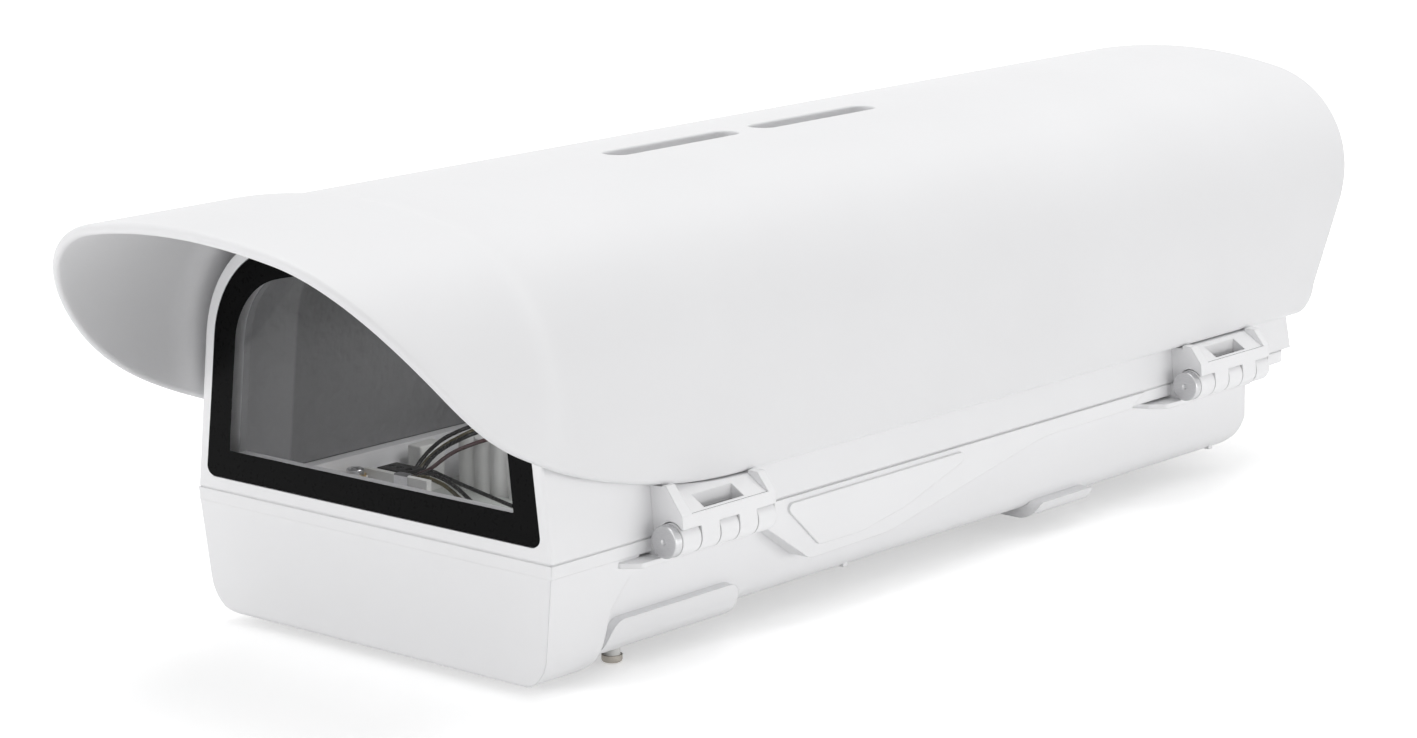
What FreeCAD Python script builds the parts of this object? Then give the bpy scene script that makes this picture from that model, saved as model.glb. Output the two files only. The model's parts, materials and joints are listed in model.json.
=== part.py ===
"""Outdoor camera housing: a hinged two-part casing under an arched sunshield.

Sizes are in millimetres. They are measured from the parting plane between the
two casings (z = 0), from the front face (y = 0) and from the centre plane
(x = 0). Each solid is moved once, when it is written, so that the middle of
the bracket holes on the underside becomes the origin of the part.
"""
import FreeCAD
import Part
import math
import os

from FreeCAD import Placement, Rotation, Vector

# Casing outline
casing_length = 348.7
casing_half_width = 67.5
draft = 6.4
cover_height = 79.0
cover_crown_radius = 140.0
cover_shoulder_radius = 35.0
cover_wall = 4.0
edge_round = 0.8
parting_gap = 0.4

# Window at the front of the cover
frame_margin = 3.6
frame_sill = 3.5
window_corner = 2.8
glass_clearance = 0.2
glass_thickness = 4.0
gasket_thickness = 1.2
clear_margin = 12.0
clear_sill = 11.8
flange_margin = 10.2
flange_sill = 10.0
front_wall = 8.0
flare_depth = 31.0
flare_wall = 1.8

# Lower casing
rim_height = 4.0
rim_corner = 7.0
nose_height = 35.7
nose_bottom_half = casing_half_width - 4.4
nose_depth = 36.0
nose_corner = 11.0
belly_top_half = casing_half_width - 4.5
belly_bottom_half = belly_top_half - 3.4
belly_height = 30.0
belly_corner = 7.0
belly_end = casing_length - 10.7
belly_tail_lean = 6.4
belly_tail_round = 14.0
belly_plan_corner = 12.0
lower_wall = 3.0
cavity_half = belly_top_half - lower_wall
floor_rib_ys = (132.0, 226.0, 318.0)
floor_rib_height = 7.0
panel_start = 83.4
panel_proud = 0.5
plaque_proud = 0.8
seal_width = 2.0
seal_depth = 1.8
seal_inset = 2.2

# Sunshield
hood_height = cover_height + 9.0
hood_half_width = casing_half_width + 2.8
hood_crown_radius = 180.0
hood_shoulder_radius = 44.5
hood_wall = 3.0
hood_skirt = 11.2
hood_tail = casing_length + 39.7
visor_step = 1.9
visor_start = 8.0
visor_ramp = 20.0
lip_start = 73.7
lip_arcs = ((201.5, 25.9), (79.4, 22.3), (204.5, 18.0))
trough_length = 54.5
trough_width = 8.5
trough_depth = 5.0
trough_floor = 2.0
trough_centres = (124.3, 187.8)

# Sunshield fixings
shield_screw_radius = 2.0
shield_head_radius = 3.2
shield_head_height = 1.6
shield_washer_radius = 3.9
shield_washer_thickness = 0.8
shield_slot_play = 0.4
shield_screw_shift = 21.5
boss_radius = 5.0
spacer_thickness = 1.0
insert_radius = 3.0
insert_length = 8.0

# Hinges
pin_x = casing_half_width + 6.8
pin_radius = 2.0
pin_play = 0.05
pin_head_radius = 4.5
pin_head_length = 2.5
knuckle_radius = 4.6
knuckle_count = 5
knuckle_pitch = 7.7
knuckle_gap = 0.4
hinge_starts = (38.4, casing_length - 67.8)
sweep_play = 0.3
buttress_face = pin_x + 3.8
buttress_bend = 7.0
buttress_land = 0.7
arm_slope = 0.836
arm_rise = 0.6
ramp_slope = 1.69
ramp_top = 13.4
ramp_ends = (4.5, 35.7)
buttress_slant = 1.2
lip_underside = 3.3
pocket_rise = 3.6
pocket_depth = 5.9
pocket_inset = 1.4
pocket_ends = (10.9, 27.1)
skirt_play = 0.5
skirt_inner_play = 0.3
lip_play = 0.3
shelf_x = pin_x - 2.5
shelf_thickness = 1.5
shelf_reach = 11.0

# Closing screws on the side away from the hinges
lug_centres = (58.0, casing_length - 48.7)
lug_x = -casing_half_width - 7.2
lug_length = 15.0
lug_height = 8.0
lug_reach = 5.0
closing_screw_radius = 1.9
closing_head_radius = 3.6
closing_head_height = 3.2
closing_screw_length = 16.0
closing_hole_play = 0.5

# Underside
foot_face = 32.3
foot_proud = 1.1
bracket_centre_y = 165.0
bracket_spacing_x = 50.0
bracket_spacing_y = 70.0
bracket_hole_radius = 2.5
bracket_insert_radius = 4.0
bracket_insert_length = 10.0
foot_screw_x = belly_bottom_half - 8.7
foot_screw_y = 40.7
front_foot = (24.6, 79.5)
rear_foot = (217.0, 246.0)
foot_screw_radius = 1.5
foot_head_radius = 2.9
foot_head_height = 2.1
foot_spacer_radius = 2.3
foot_spacer_height = 3.6

# Cable glands in the rear wall
gland_spacing = 33.0
gland_height = -14.2
gland_thread_radius = 6.2
gland_bore_radius = 3.25
gland_flat = 15.5
gland_seat_y = belly_end + 0.6
gland_flange = 3.0
gland_cap_length = 11.0
gland_wall = 9.0
gland_nut_thickness = 3.0
gland_nut_flat = 16.6

# Camera tray
tray_half_width = 47.0
tray_front = 134.0
tray_back = belly_end - 32.0
tray_height = -9.0
tray_thickness = 2.0
tray_flange = 7.0
tray_slot_width = 6.8
tray_slot_ends = (168.0, tray_back - 38.0)
tray_screw_x = 38.0
tray_screw_ys = (tray_front + 10.0, tray_back - 10.0)
tray_boss_radius = 4.5
tray_screw_radius = 1.9
camera_screw_y = 208.0

# Wiring board at the front of the lower casing
board_x = (-57.0, 32.0)
board_y = (53.2, 126.0)
board_height = -15.0
board_thickness = 1.6
board_boss_radius = 3.4
board_screw_radius = 1.3
terminal_x = -50.1
terminal_y = 61.7
terminal_size = (10.8, 9.0, 4.2)
terminal_top = -4.0
well_pitch = 3.5
plinth_wall = (-57.0, -31.3)
plinth_wall_y = (53.5, 55.5)
plinth_wall_top = -3.6
clip_x = (-44.0, -38.6)
clip_thickness = 0.5
socket_x = (13.0, 23.0)
socket_y = (52.6, 63.4)
socket_top = -4.6
relay_x = (-56.0, -50.4)
relay_y = (70.5, 80.5)
relay_top = 0.4
module_x = (-47.5, 18.5)
module_y = (81.0, 112.0)
module_top = 2.5
module_ribs = 10
wire_radius = 0.6
mouth_play = 0.06


def wire_of(edges):
    """Join loose edges into one wire."""
    return Part.Wire(Part.__sortEdges__(edges))


def line(a, b):
    """A straight edge between two points."""
    return Part.LineSegment(a, b).toShape()


def arc(a, middle, b):
    """A round edge through three points."""
    return Part.Arc(a, middle, b).toShape()


def in_xz(y):
    """Place a flat outline across the casing at the depth y."""
    return lambda a, b: Vector(a, y, b)


def in_yz(x):
    """Place a flat outline along the casing at the distance x."""
    return lambda a, b: Vector(x, a, b)


def in_xy(z):
    """Place a flat outline level at the height z."""
    return lambda a, b: Vector(a, b, z)


def rounded(corners, place):
    """A closed face from corners (a, b, radius), with each corner turned by a tangent arc."""
    count = len(corners)
    starts = []
    ends = []
    edges = []
    for i, (a, b, radius) in enumerate(corners):
        point = Vector(a, b, 0)
        before = Vector(corners[i - 1][0], corners[i - 1][1], 0) - point
        after = Vector(corners[(i + 1) % count][0], corners[(i + 1) % count][1], 0) - point
        if radius == 0:
            starts.append(point)
            ends.append(point)
            continue
        half = before.getAngle(after) / 2
        before.normalize()
        after.normalize()
        bisector = (before + after).normalize()
        reach = radius / math.tan(half)
        first = point + before * reach
        last = point + after * reach
        middle = point + bisector * (radius / math.sin(half) - radius)
        starts.append(first)
        ends.append(last)
        edges.append(arc(place(first.x, first.y), place(middle.x, middle.y), place(last.x, last.y)))
    for i in range(count):
        a = ends[i]
        b = starts[(i + 1) % count]
        if a.distanceToPoint(b) > 1e-6:
            edges.append(line(place(a.x, a.y), place(b.x, b.y)))
    return Part.Face(wire_of(edges))


def prism_x(corners, low, high):
    """An outline of (y, z, radius) corners carried from one x to another."""
    return rounded(corners, in_yz(low)).extrude(Vector(high - low, 0, 0))


def prism_y(corners, low, high):
    """An outline of (x, z, radius) corners carried from one y to another."""
    return rounded(corners, in_xz(low)).extrude(Vector(0, high - low, 0))


def prism_z(corners, low, high):
    """An outline of (x, y, radius) corners carried from one z to another."""
    return rounded(corners, in_xy(low)).extrude(Vector(0, 0, high - low))


def block(low, high):
    """A box between two opposite corners."""
    size = Vector(*high) - Vector(*low)
    return Part.makeBox(size.x, size.y, size.z, Vector(*low))


def rod(radius, start, direction, length):
    """A cylinder from a start point along a direction."""
    return Part.makeCylinder(radius, length, Vector(*start), Vector(*direction))


def along_y(radius, x, z, low, high):
    """A cylinder along the casing between two depths."""
    return rod(radius, (x, low, z), (0, 1, 0), high - low)


def upright(radius, x, y, low, high):
    """A vertical cylinder between two heights."""
    return rod(radius, (x, y, low), (0, 0, 1), high - low)


def mirrored(shape):
    """The same shape on the other side of the centre plane."""
    return shape.mirror(Vector(0, 0, 0), Vector(1, 0, 0))


def joined(shapes):
    """One solid from touching or overlapping ones."""
    result = shapes[0].fuse(list(shapes[1:]))
    return result.removeSplitter()


def group(shapes):
    """Separate solids kept side by side."""
    return Part.Compound(list(shapes))


def rounded_where(shape, radius, chosen):
    """Round the edges whose middle point passes a test."""
    edges = []
    for edge in shape.Edges:
        middle = edge.valueAt((edge.FirstParameter + edge.LastParameter) / 2)
        if chosen(middle, edge):
            edges.append(edge)
    return shape.makeFillet(radius, edges)


def hexagon(flat, place):
    """A hexagonal face of a given width across its flats, one flat facing down."""
    reach = flat / 2 / math.cos(math.radians(30))
    corners = []
    for i in range(6):
        angle = math.radians(60 * i)
        corners.append((reach * math.cos(angle), reach * math.sin(angle)))
    points = [place(a, b) for a, b in corners]
    return Part.Face(Part.makePolygon(points + [points[0]]))


def slot_prism(centre_x, centre_y, length, width, low, high):
    """A vertical prism with straight sides and half-round ends, longer along y."""
    half = length / 2 - width / 2
    radius = width / 2
    a = Vector(centre_x - radius, centre_y - half, low)
    b = Vector(centre_x + radius, centre_y - half, low)
    c = Vector(centre_x + radius, centre_y + half, low)
    d = Vector(centre_x - radius, centre_y + half, low)
    front = Vector(centre_x, centre_y - half - radius, low)
    back = Vector(centre_x, centre_y + half + radius, low)
    outline = wire_of([arc(a, front, b), line(b, c), arc(c, back, d), line(d, a)])
    return Part.Face(outline).extrude(Vector(0, 0, high - low))


def arch_face(half, crown, shoulder, top, bottom, place):
    """An arch: straight skirts, two shoulder arcs and a flatter crown arc, all tangent."""
    lean = math.asin((half - shoulder) / (crown - shoulder))
    centre_z = top - crown
    bend_x = (crown - shoulder) * math.sin(lean)
    bend_z = centre_z + (crown - shoulder) * math.cos(lean)
    meet = (crown * math.sin(lean), centre_z + crown * math.cos(lean))
    turn = math.radians(45) + lean / 2
    middle = (bend_x + shoulder * math.sin(turn), bend_z + shoulder * math.cos(turn))
    edges = [
        line(place(-half, bottom), place(half, bottom)),
        line(place(half, bottom), place(half, bend_z)),
        arc(place(half, bend_z), place(*middle), place(*meet)),
        arc(place(*meet), place(0, top), place(-meet[0], meet[1])),
        arc(place(-meet[0], meet[1]), place(-middle[0], middle[1]), place(-half, bend_z)),
        line(place(-half, bend_z), place(-half, bottom)),
    ]
    return Part.Face(wire_of(edges))


def cover_shoulder():
    """Centre of the arc that joins the cover's leaning side to its crown."""
    lean = math.radians(draft)
    reach = casing_half_width * math.cos(lean) - cover_shoulder_radius
    crown_z = cover_height - cover_crown_radius
    radius = cover_crown_radius - cover_shoulder_radius
    # The centre lies on a line parallel to the side and on a circle about the crown's centre.
    offset = reach - crown_z * math.sin(lean)
    rise = math.sqrt(radius * radius - offset * offset)
    x = offset * math.cos(lean) - rise * math.sin(lean)
    z = crown_z + offset * math.sin(lean) + rise * math.cos(lean)
    return x, z


def cover_face(inset, bottom, y):
    """The cover's section, drawn in by an inset, standing on a level line."""
    lean = math.radians(draft)
    x, z = cover_shoulder()
    shoulder = cover_shoulder_radius - inset
    crown = cover_crown_radius - inset
    crown_z = cover_height - cover_crown_radius
    place = in_xz(y)
    foot = (casing_half_width * math.cos(lean) - inset - bottom * math.sin(lean)) / math.cos(lean)
    side = (x + shoulder * math.cos(lean), z + shoulder * math.sin(lean))
    tip = math.atan2(x, z - crown_z)
    meet = (crown * math.sin(tip), crown_z + crown * math.cos(tip))
    turn = (math.radians(90) - lean + tip) / 2
    middle = (x + shoulder * math.sin(turn), z + shoulder * math.cos(turn))
    edges = [
        line(place(-foot, bottom), place(foot, bottom)),
        line(place(foot, bottom), place(*side)),
        arc(place(*side), place(*middle), place(*meet)),
        arc(place(*meet), place(0, crown_z + crown), place(-meet[0], meet[1])),
        arc(place(-meet[0], meet[1]), place(-middle[0], middle[1]), place(-side[0], side[1])),
        line(place(-side[0], side[1]), place(-foot, bottom)),
    ]
    return Part.Face(wire_of(edges))


def cover_side(inset):
    """The cover's outline from the side: an upright front and a leaning rear wall."""
    slope = math.tan(math.radians(draft))
    back = casing_length - inset / math.cos(math.radians(draft))
    top = cover_height + 10
    return [(inset, -1, 0), (inset, top, 0), (back - slope * top, top, 0), (back + slope, -1, 0)]


def knuckle_span(start, index):
    """The first and last y of one hinge knuckle."""
    low = start + index * knuckle_pitch
    return low, low + knuckle_pitch - knuckle_gap


def hinge_end(start):
    """The y at which a hinge's last knuckle ends."""
    return knuckle_span(start, knuckle_count - 1)[1]


def lip_height(y):
    """Height of the sunshield's lower edge at one depth, in its level part and its first curve."""
    radius = lip_arcs[0][0]
    reach = max(0.0, lip_start - y)
    return hood_skirt + radius - math.sqrt(radius * radius - reach * reach)


def buttress_section(shoulder, slope, ridge):
    """A buttress's section: a face tangent to the knuckles, its shoulder, and a slope up to a ridge."""
    wall = casing_half_width - cover_wall
    spread = math.hypot(buttress_face - pin_x, buttress_bend)
    turn = math.atan2(buttress_bend, buttress_face - pin_x) - math.acos(knuckle_radius / spread)
    last = shoulder[-1]
    return [
        (wall, parting_gap, 0),
        (pin_x, parting_gap, 0),
        (pin_x + knuckle_radius * math.cos(turn), knuckle_radius * math.sin(turn), 0),
    ] + shoulder + [
        (last[0] - slope * (ridge - last[1]), ridge, 0),
        (wall, ridge, 0),
    ]


def skirt_room():
    """The room kept for the sunshield's skirt over the buttresses, from a little below its edge."""
    place = in_yz(hood_half_width - hood_wall - skirt_inner_play)
    front = hinge_starts[0] - 1
    points = []
    for y in (front, (front + lip_start) / 2, lip_start):
        points.append(place(y, lip_height(y) - lip_play))
    level = hood_skirt - lip_play
    top = ramp_top + 10
    edges = [
        arc(*points),
        line(points[2], place(casing_length, level)),
        line(place(casing_length, level), place(casing_length, top)),
        line(place(casing_length, top), place(front, top)),
        line(place(front, top), points[0]),
    ]
    width = hood_wall + skirt_inner_play + skirt_play
    return Part.Face(wire_of(edges)).extrude(Vector(width, 0, 0))


def hinge_buttress(start):
    """The cover's buttress over one hinge: two arms, a ramp between them and a cored pocket."""
    end = hinge_end(start)
    back = end + buttress_slant + 0.5
    wall = casing_half_width - cover_wall
    arm = [(buttress_face, buttress_bend, 1.2)]
    land = [(buttress_face, buttress_bend, 0.3), (buttress_face - buttress_land, buttress_bend, 0.3)]
    low, high = [start + reach for reach in ramp_ends]
    solid = joined([
        prism_y(buttress_section(arm, arm_slope, lip_height(low) + arm_rise), start, low),
        prism_y(buttress_section(land, ramp_slope, ramp_top), low, high),
        prism_y(buttress_section(arm, arm_slope, lip_height(back) + arm_rise), high, back),
    ])
    solid = solid.common(prism_z([
        (wall - 1, start + buttress_slant + 0.5, 0),
        (buttress_face + 1, start + 0.3, 0),
        (buttress_face + 1, end + 0.3, 0),
        (wall - 1, back, 0),
    ], -1, 30))
    pocket_low, pocket_high = [start + reach for reach in pocket_ends]
    pocket = block(
        (buttress_face - pocket_depth, pocket_low, knuckle_radius + 1.3),
        (buttress_face - pocket_inset, pocket_high, buttress_bend + pocket_rise))
    solid = solid.cut([pocket, skirt_room()])
    for index in range(1, knuckle_count, 2):
        low, high = knuckle_span(start, index)
        solid = solid.fuse(along_y(knuckle_radius, pin_x, 0, low, high))
    for index in range(0, knuckle_count, 2):
        low, high = knuckle_span(start, index)
        low -= knuckle_gap
        high += knuckle_gap
        solid = solid.cut(along_y(knuckle_radius + sweep_play, pin_x, 0, low, high))
        solid = solid.cut(block((pin_x, low, -1), (pin_x + 6, high, lip_underside)))
    return solid


def pin_bore(start, low_margin):
    """The running bore of a hinge pin through all knuckles."""
    return along_y(pin_radius + pin_play, pin_x, 0, start - low_margin, hinge_end(start) + 1)


def cover_lug(centre):
    """The cover's ear for a closing screw."""
    half = lug_length / 2
    outer = lug_x - lug_reach
    lug = prism_z([
        (-casing_half_width + cover_wall / 2, centre - half - 3, 0),
        (outer, centre - half + 1, 3.0),
        (outer, centre + half - 1, 3.0),
        (-casing_half_width + cover_wall / 2, centre + half + 3, 0),
    ], parting_gap, lug_height)
    return lug.cut(upright(closing_screw_radius + 0.1, lug_x, centre, 0, lug_height + 1))


def upper_casing():
    """The cover: an arched shell, open below, with a flanged window opening at the front."""
    outer = cover_face(0, 0, 0).extrude(Vector(0, casing_length, 0))
    outer = outer.common(prism_x(cover_side(0), -90, 90))
    outer = rounded_where(outer, edge_round, lambda p, e: p.y < 0.01 and p.z > 1)
    cavity = cover_face(cover_wall, -1, flare_depth).extrude(Vector(0, casing_length - flare_depth, 0))
    cavity = cavity.common(prism_x(cover_side(cover_wall), -90, 90))
    flare = Part.makeLoft([
        cover_face(flare_wall, -1, front_wall).OuterWire,
        cover_face(cover_wall, -1, flare_depth).OuterWire,
    ], True, True)
    opening = cover_face(flange_margin, flange_sill, -1).extrude(Vector(0, front_wall + 2, 0))
    rebate_depth = glass_thickness + gasket_thickness
    rebate = foot_rounded(cover_face(frame_margin, frame_sill, -1).extrude(Vector(0, rebate_depth + 1, 0)),
                          window_corner, frame_sill)
    shell = outer.cut([cavity, flare, opening, rebate])
    additions = [hinge_buttress(start) for start in hinge_starts]
    additions += [cover_lug(centre) for centre in lug_centres]
    boss_top = cover_boss_top()
    for y in shield_screw_ys():
        additions.append(upright(boss_radius, 0, y, boss_top - insert_length - 2, boss_top))
    shell = shell.fuse(additions)
    cuts = [pin_bore(start, 1) for start in hinge_starts]
    for y in shield_screw_ys():
        cuts.append(upright(insert_radius, 0, y, boss_top - insert_length, boss_top + 1))
    shell = shell.cut(cuts)
    return shell.removeSplitter()


def foot_rounded(solid, radius, foot):
    """A window-shaped solid with its two lower corners rounded."""
    return rounded_where(solid, radius, lambda p, e: abs(p.z - foot) < 0.01 and abs(p.x) > 30
                         and abs(e.BoundBox.XLength) < 0.01)


def cover_boss_top():
    """Height of the bosses that carry the sunshield."""
    return hood_height - trough_depth - trough_floor - spacer_thickness


def window_plate():
    """The glass, set flush with the front of the cover."""
    margin = frame_margin + glass_clearance
    sill = frame_sill + glass_clearance
    plate = cover_face(margin, sill, 0).extrude(Vector(0, glass_thickness, 0))
    return foot_rounded(plate, window_corner - glass_clearance, sill)


def window_gasket():
    """The black gasket that the glass beds on, seen as its dark border."""
    sill = frame_sill + glass_clearance
    outer = cover_face(frame_margin + glass_clearance, sill, glass_thickness)
    inner = cover_face(clear_margin, clear_sill, glass_thickness - 1)
    ring = foot_rounded(outer.extrude(Vector(0, gasket_thickness, 0)), window_corner - glass_clearance, sill)
    return ring.cut(inner.extrude(Vector(0, gasket_thickness + 2, 0)))


def mirrored_corners(half):
    """Both halves of an outline that is given from the top outside to the bottom."""
    return half + [(-x, z, r) for x, z, r in reversed(half)]


def belly_profile(proud):
    """The lower casing's section behind the nose, grown outwards by a small amount."""
    return mirrored_corners([
        (belly_top_half + proud, -parting_gap - 1, 0),
        (belly_top_half + proud, -rim_height - 1, 0),
        (belly_bottom_half + proud, -belly_height - proud, belly_corner),
    ])


def belly_solid():
    """The belly: its section, its boat-like side outline and its rounded plan, in common."""
    section = prism_y(belly_profile(0), 12, belly_end)
    tail = belly_end - belly_tail_lean
    side = prism_x([
        (12, 0, 0),
        (belly_end, 0, 0),
        (tail, -belly_height, belly_tail_round),
        (12, -belly_height, 0),
    ], -90, 90)
    plan = prism_z([
        (-70, 10, 0),
        (70, 10, 0),
        (belly_top_half, belly_end, belly_plan_corner),
        (-belly_top_half, belly_end, belly_plan_corner),
    ], -50, 5)
    return section.common(side).common(plan)


def nose_solid():
    """The deep front block of the lower casing, cut back along a slanting crease."""
    section = prism_y(mirrored_corners([
        (casing_half_width, -parting_gap, 0),
        (nose_bottom_half, -nose_height, nose_corner),
    ]), 0, nose_depth)
    side = prism_x([
        (0, -parting_gap, 0),
        (nose_depth, -parting_gap, 0),
        (nose_depth - 2.7, -6.8, 0),
        (24.8, -17.5, 6),
        (21.7, -32.7, 5),
        (15.5, -nose_height, 4),
        (1.2, -nose_height, 2),
    ], -90, 90)
    return section.common(side)


def rim_solid():
    """The flush band along the parting line, which overhangs the belly at the rear."""
    return prism_z([
        (-casing_half_width, 0, 0.6),
        (casing_half_width, 0, 0.6),
        (casing_half_width, casing_length, rim_corner),
        (-casing_half_width, casing_length, rim_corner),
    ], -rim_height, -parting_gap)


def side_panel():
    """The raised panel on one side, with its shallower plaque."""
    face = casing_half_width + panel_proud
    panel = prism_x([
        (panel_start, -parting_gap, 0),
        (266.0, -parting_gap, 0),
        (258.0, -rim_height - 0.6, 3),
        (214.0, -rim_height - 0.9, 60),
        (140.0, -19.0, 50),
        (104.0, -19.6, 5),
        (panel_start + 1.9, -7.3, 3),
    ], belly_bottom_half - 2, face)
    plaque = prism_x([
        (92.0, -2.0, 1.5),
        (182.8, -1.8, 1.6),
        (146.0, -12.9, 25),
        (126.0, -16.1, 12),
        (107.2, -16.1, 3),
    ], face - 0.5, face + plaque_proud)
    return joined([panel, plaque])


def hinge_lower(start):
    """The casing's knuckles of one hinge, their webs and the shelf under them."""
    end = hinge_end(start)
    shelf_top = -knuckle_radius - 0.3
    inner = belly_top_half - lower_wall
    pieces = [prism_z([
        (inner, start - shelf_reach - 4, 0),
        (casing_half_width, start - shelf_reach - 1, 0),
        (shelf_x, start - shelf_reach + 3, 2),
        (shelf_x, end, 0),
        (inner, end, 0),
    ], shelf_top - shelf_thickness, shelf_top)]
    for index in range(0, knuckle_count, 2):
        low, high = knuckle_span(start, index)
        pieces.append(along_y(knuckle_radius, pin_x, 0, low, high))
        pieces.append(prism_y([
            (inner, -parting_gap, 0),
            (pin_x - 1, -parting_gap, 0),
            (pin_x - 0.4, -knuckle_radius + 0.02, 0),
            (shelf_x - 0.6, shelf_top - 0.2, 0),
            (inner, shelf_top - 0.2, 0),
        ], low, high))
    return pieces


def foot_pad(proud, ends, top, turns):
    """A raised foot that wraps the lower edge of the belly on both sides."""
    front, back = ends
    section = prism_y(mirrored_corners([
        (belly_top_half + proud, top + 1, 0),
        (belly_bottom_half + proud, -foot_face, belly_corner),
    ]), front - 1, back + 1)
    side = prism_x([
        (front, -foot_face, 0),
        (front + (top + foot_face) * 0.42, top, turns[0]),
        (back, top, turns[1]),
        (back, -foot_face, turns[2]),
    ], -90, 90)
    middle = block((-42, front - 2, -60), (42, back + 2, 10))
    return section.common(side).cut(middle)


def lower_lug(centre):
    """The casing's ear under a closing screw."""
    half = lug_length / 2
    outer = lug_x - lug_reach
    return prism_z([
        (-belly_top_half + lower_wall, centre - half - 3, 0),
        (-casing_half_width, centre - half - 3, 0),
        (outer, centre - half + 1, 3.0),
        (outer, centre + half - 1, 3.0),
        (-casing_half_width, centre + half + 3, 0),
        (-belly_top_half + lower_wall, centre + half + 3, 0),
    ], -closing_insert_length() - 1.5, -parting_gap)


def closing_insert_length():
    """Depth of the threaded insert under a closing screw."""
    return closing_screw_length - lug_height + 0.6


def gland_places():
    """The x of each cable gland."""
    return [-gland_spacing, 0.0, gland_spacing]


def bracket_places():
    """The x and y of each bracket hole."""
    places = []
    for sx in (-0.5, 0.5):
        for sy in (-0.5, 0.5):
            places.append((sx * bracket_spacing_x, bracket_centre_y + sy * bracket_spacing_y))
    return places


def tray_places():
    """The x and y of each tray screw."""
    return [(sx * tray_screw_x, y) for sx in (-1, 1) for y in tray_screw_ys]


def board_places():
    """The x and y of each board screw."""
    inset = 4.5
    front = board_y[0] + inset
    back = board_y[1] - inset
    left = board_x[0] + inset
    right = board_x[1] - inset
    return [(plinth_wall[1] + 6, front), (right, front), (left, back), (right, back)]


def lower_cavity():
    """The space inside the lower casing."""
    floor = -belly_height + lower_wall
    tail = belly_end - lower_wall
    section = prism_y(mirrored_corners([
        (cavity_half, 1, 0),
        (cavity_half, -rim_height - 1, 0),
        (belly_bottom_half - lower_wall, floor, 4),
    ]), lower_wall + 0.5, tail)
    side = prism_x([
        (lower_wall + 0.5, 1, 0),
        (tail, 1, 0),
        (tail - belly_tail_lean, floor, belly_tail_round - lower_wall),
        (lower_wall + 0.5, floor, 3),
    ], -90, 90)
    nose = prism_y(mirrored_corners([
        (cavity_half, -10, 0),
        (nose_bottom_half - lower_wall, -nose_height + lower_wall, nose_corner - lower_wall),
    ]), lower_wall + 0.5, 15.0)
    return joined([section.common(side), nose])


def seal_loop(width, low, high):
    """The rounded rectangular loop of the seal, or of its groove."""
    half = casing_half_width - seal_inset
    spare = casing_length - seal_inset
    solids = []
    for grow in (width / 2, -width / 2):
        radius = rim_corner - seal_inset + grow
        solids.append(prism_z([
            (-half - grow, seal_inset + 1.6 - grow, radius),
            (half + grow, seal_inset + 1.6 - grow, radius),
            (half + grow, spare + grow, radius),
            (-half - grow, spare + grow, radius),
        ], low, high))
    return solids[0].cut(solids[1])


def lower_casing():
    """The base: nose, belly, rim, side panels, hinge knuckles, lugs, feet and inner bosses."""
    outer = [rim_solid(), belly_solid(), nose_solid(), side_panel(), mirrored(side_panel())]
    for start in hinge_starts:
        outer += hinge_lower(start)
    outer += [lower_lug(centre) for centre in lug_centres]
    outer.append(foot_pad(foot_proud, front_foot, -21.7, (5.0, 4.5, 3.0)))
    outer.append(foot_pad(foot_proud, rear_foot, -belly_height + 3.0, (2.5, 1.8, 1.2)))
    plate_x = bracket_spacing_x / 2 + 12
    plate_y = bracket_spacing_y / 2 + 12
    outer.append(prism_z([
        (-plate_x, bracket_centre_y - plate_y, 8),
        (plate_x, bracket_centre_y - plate_y, 8),
        (plate_x, bracket_centre_y + plate_y, 8),
        (-plate_x, bracket_centre_y + plate_y, 8),
    ], -foot_face, -belly_height + 1))
    shell = joined(outer).cut(lower_cavity())

    floor = -belly_height + 0.5
    inner = []
    for x in gland_places():
        inner.append(along_y(gland_seat_radius(), x, gland_height, gland_seat_y - gland_wall, gland_seat_y))
    for x, y in bracket_places():
        top = -foot_face + bracket_insert_length + 2
        inner.append(upright(bracket_insert_radius + 3, x, y, -foot_face + 1, top))
    for x, y in tray_places():
        inner.append(upright(tray_boss_radius, x, y, floor, tray_height))
    for x, y in board_places():
        inner.append(upright(board_boss_radius, x, y, floor, board_height))
    inner.append(upright(3.6, -55.6, 49.0, floor, -5.0))
    for y in floor_rib_ys:
        rib_top = floor + floor_rib_height
        inner.append(block((-cavity_half + 2, y - 1, floor), (cavity_half - 2, y + 1, rib_top)))
    shell = shell.fuse(inner)

    cuts = [seal_loop(seal_width + 0.2, -parting_gap - seal_depth, 1)]
    cuts += [pin_bore(start, 1) for start in hinge_starts]
    for x in gland_places():
        cuts.append(along_y(gland_thread_radius + 0.1, x, gland_height, gland_seat_y - 20, gland_seat_y + 1))
        pocket = gland_nut_flat / 2 / math.cos(math.radians(30)) + 0.4
        face = gland_seat_y - gland_wall
        cuts.append(along_y(pocket, x, gland_height, face - 6, face))
    for x, y in bracket_places():
        cuts.append(upright(bracket_insert_radius, x, y, -foot_face - 1, -foot_face + bracket_insert_length))
    for x, y in tray_places():
        cuts.append(upright(tray_screw_radius, x, y, tray_height - 8, tray_height + 1))
    for x, y in board_places():
        cuts.append(upright(board_screw_radius, x, y, board_height - 6, board_height + 1))
    for x in (-foot_screw_x, foot_screw_x):
        cuts.append(upright(foot_screw_radius, x, foot_screw_y, -foot_face - 1, -foot_face + 8))
    for centre in lug_centres:
        depth = closing_insert_length()
        cuts.append(upright(insert_radius + 0.6, lug_x, centre, -depth, 1))
    cuts.append(upright(1.25, -55.6, 49.0, -12.0, 0))
    return shell.cut(cuts).removeSplitter()


def gland_seat_radius():
    """Radius of the flat round seat behind each gland."""
    return gland_flat / 2 + 1.4


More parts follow.
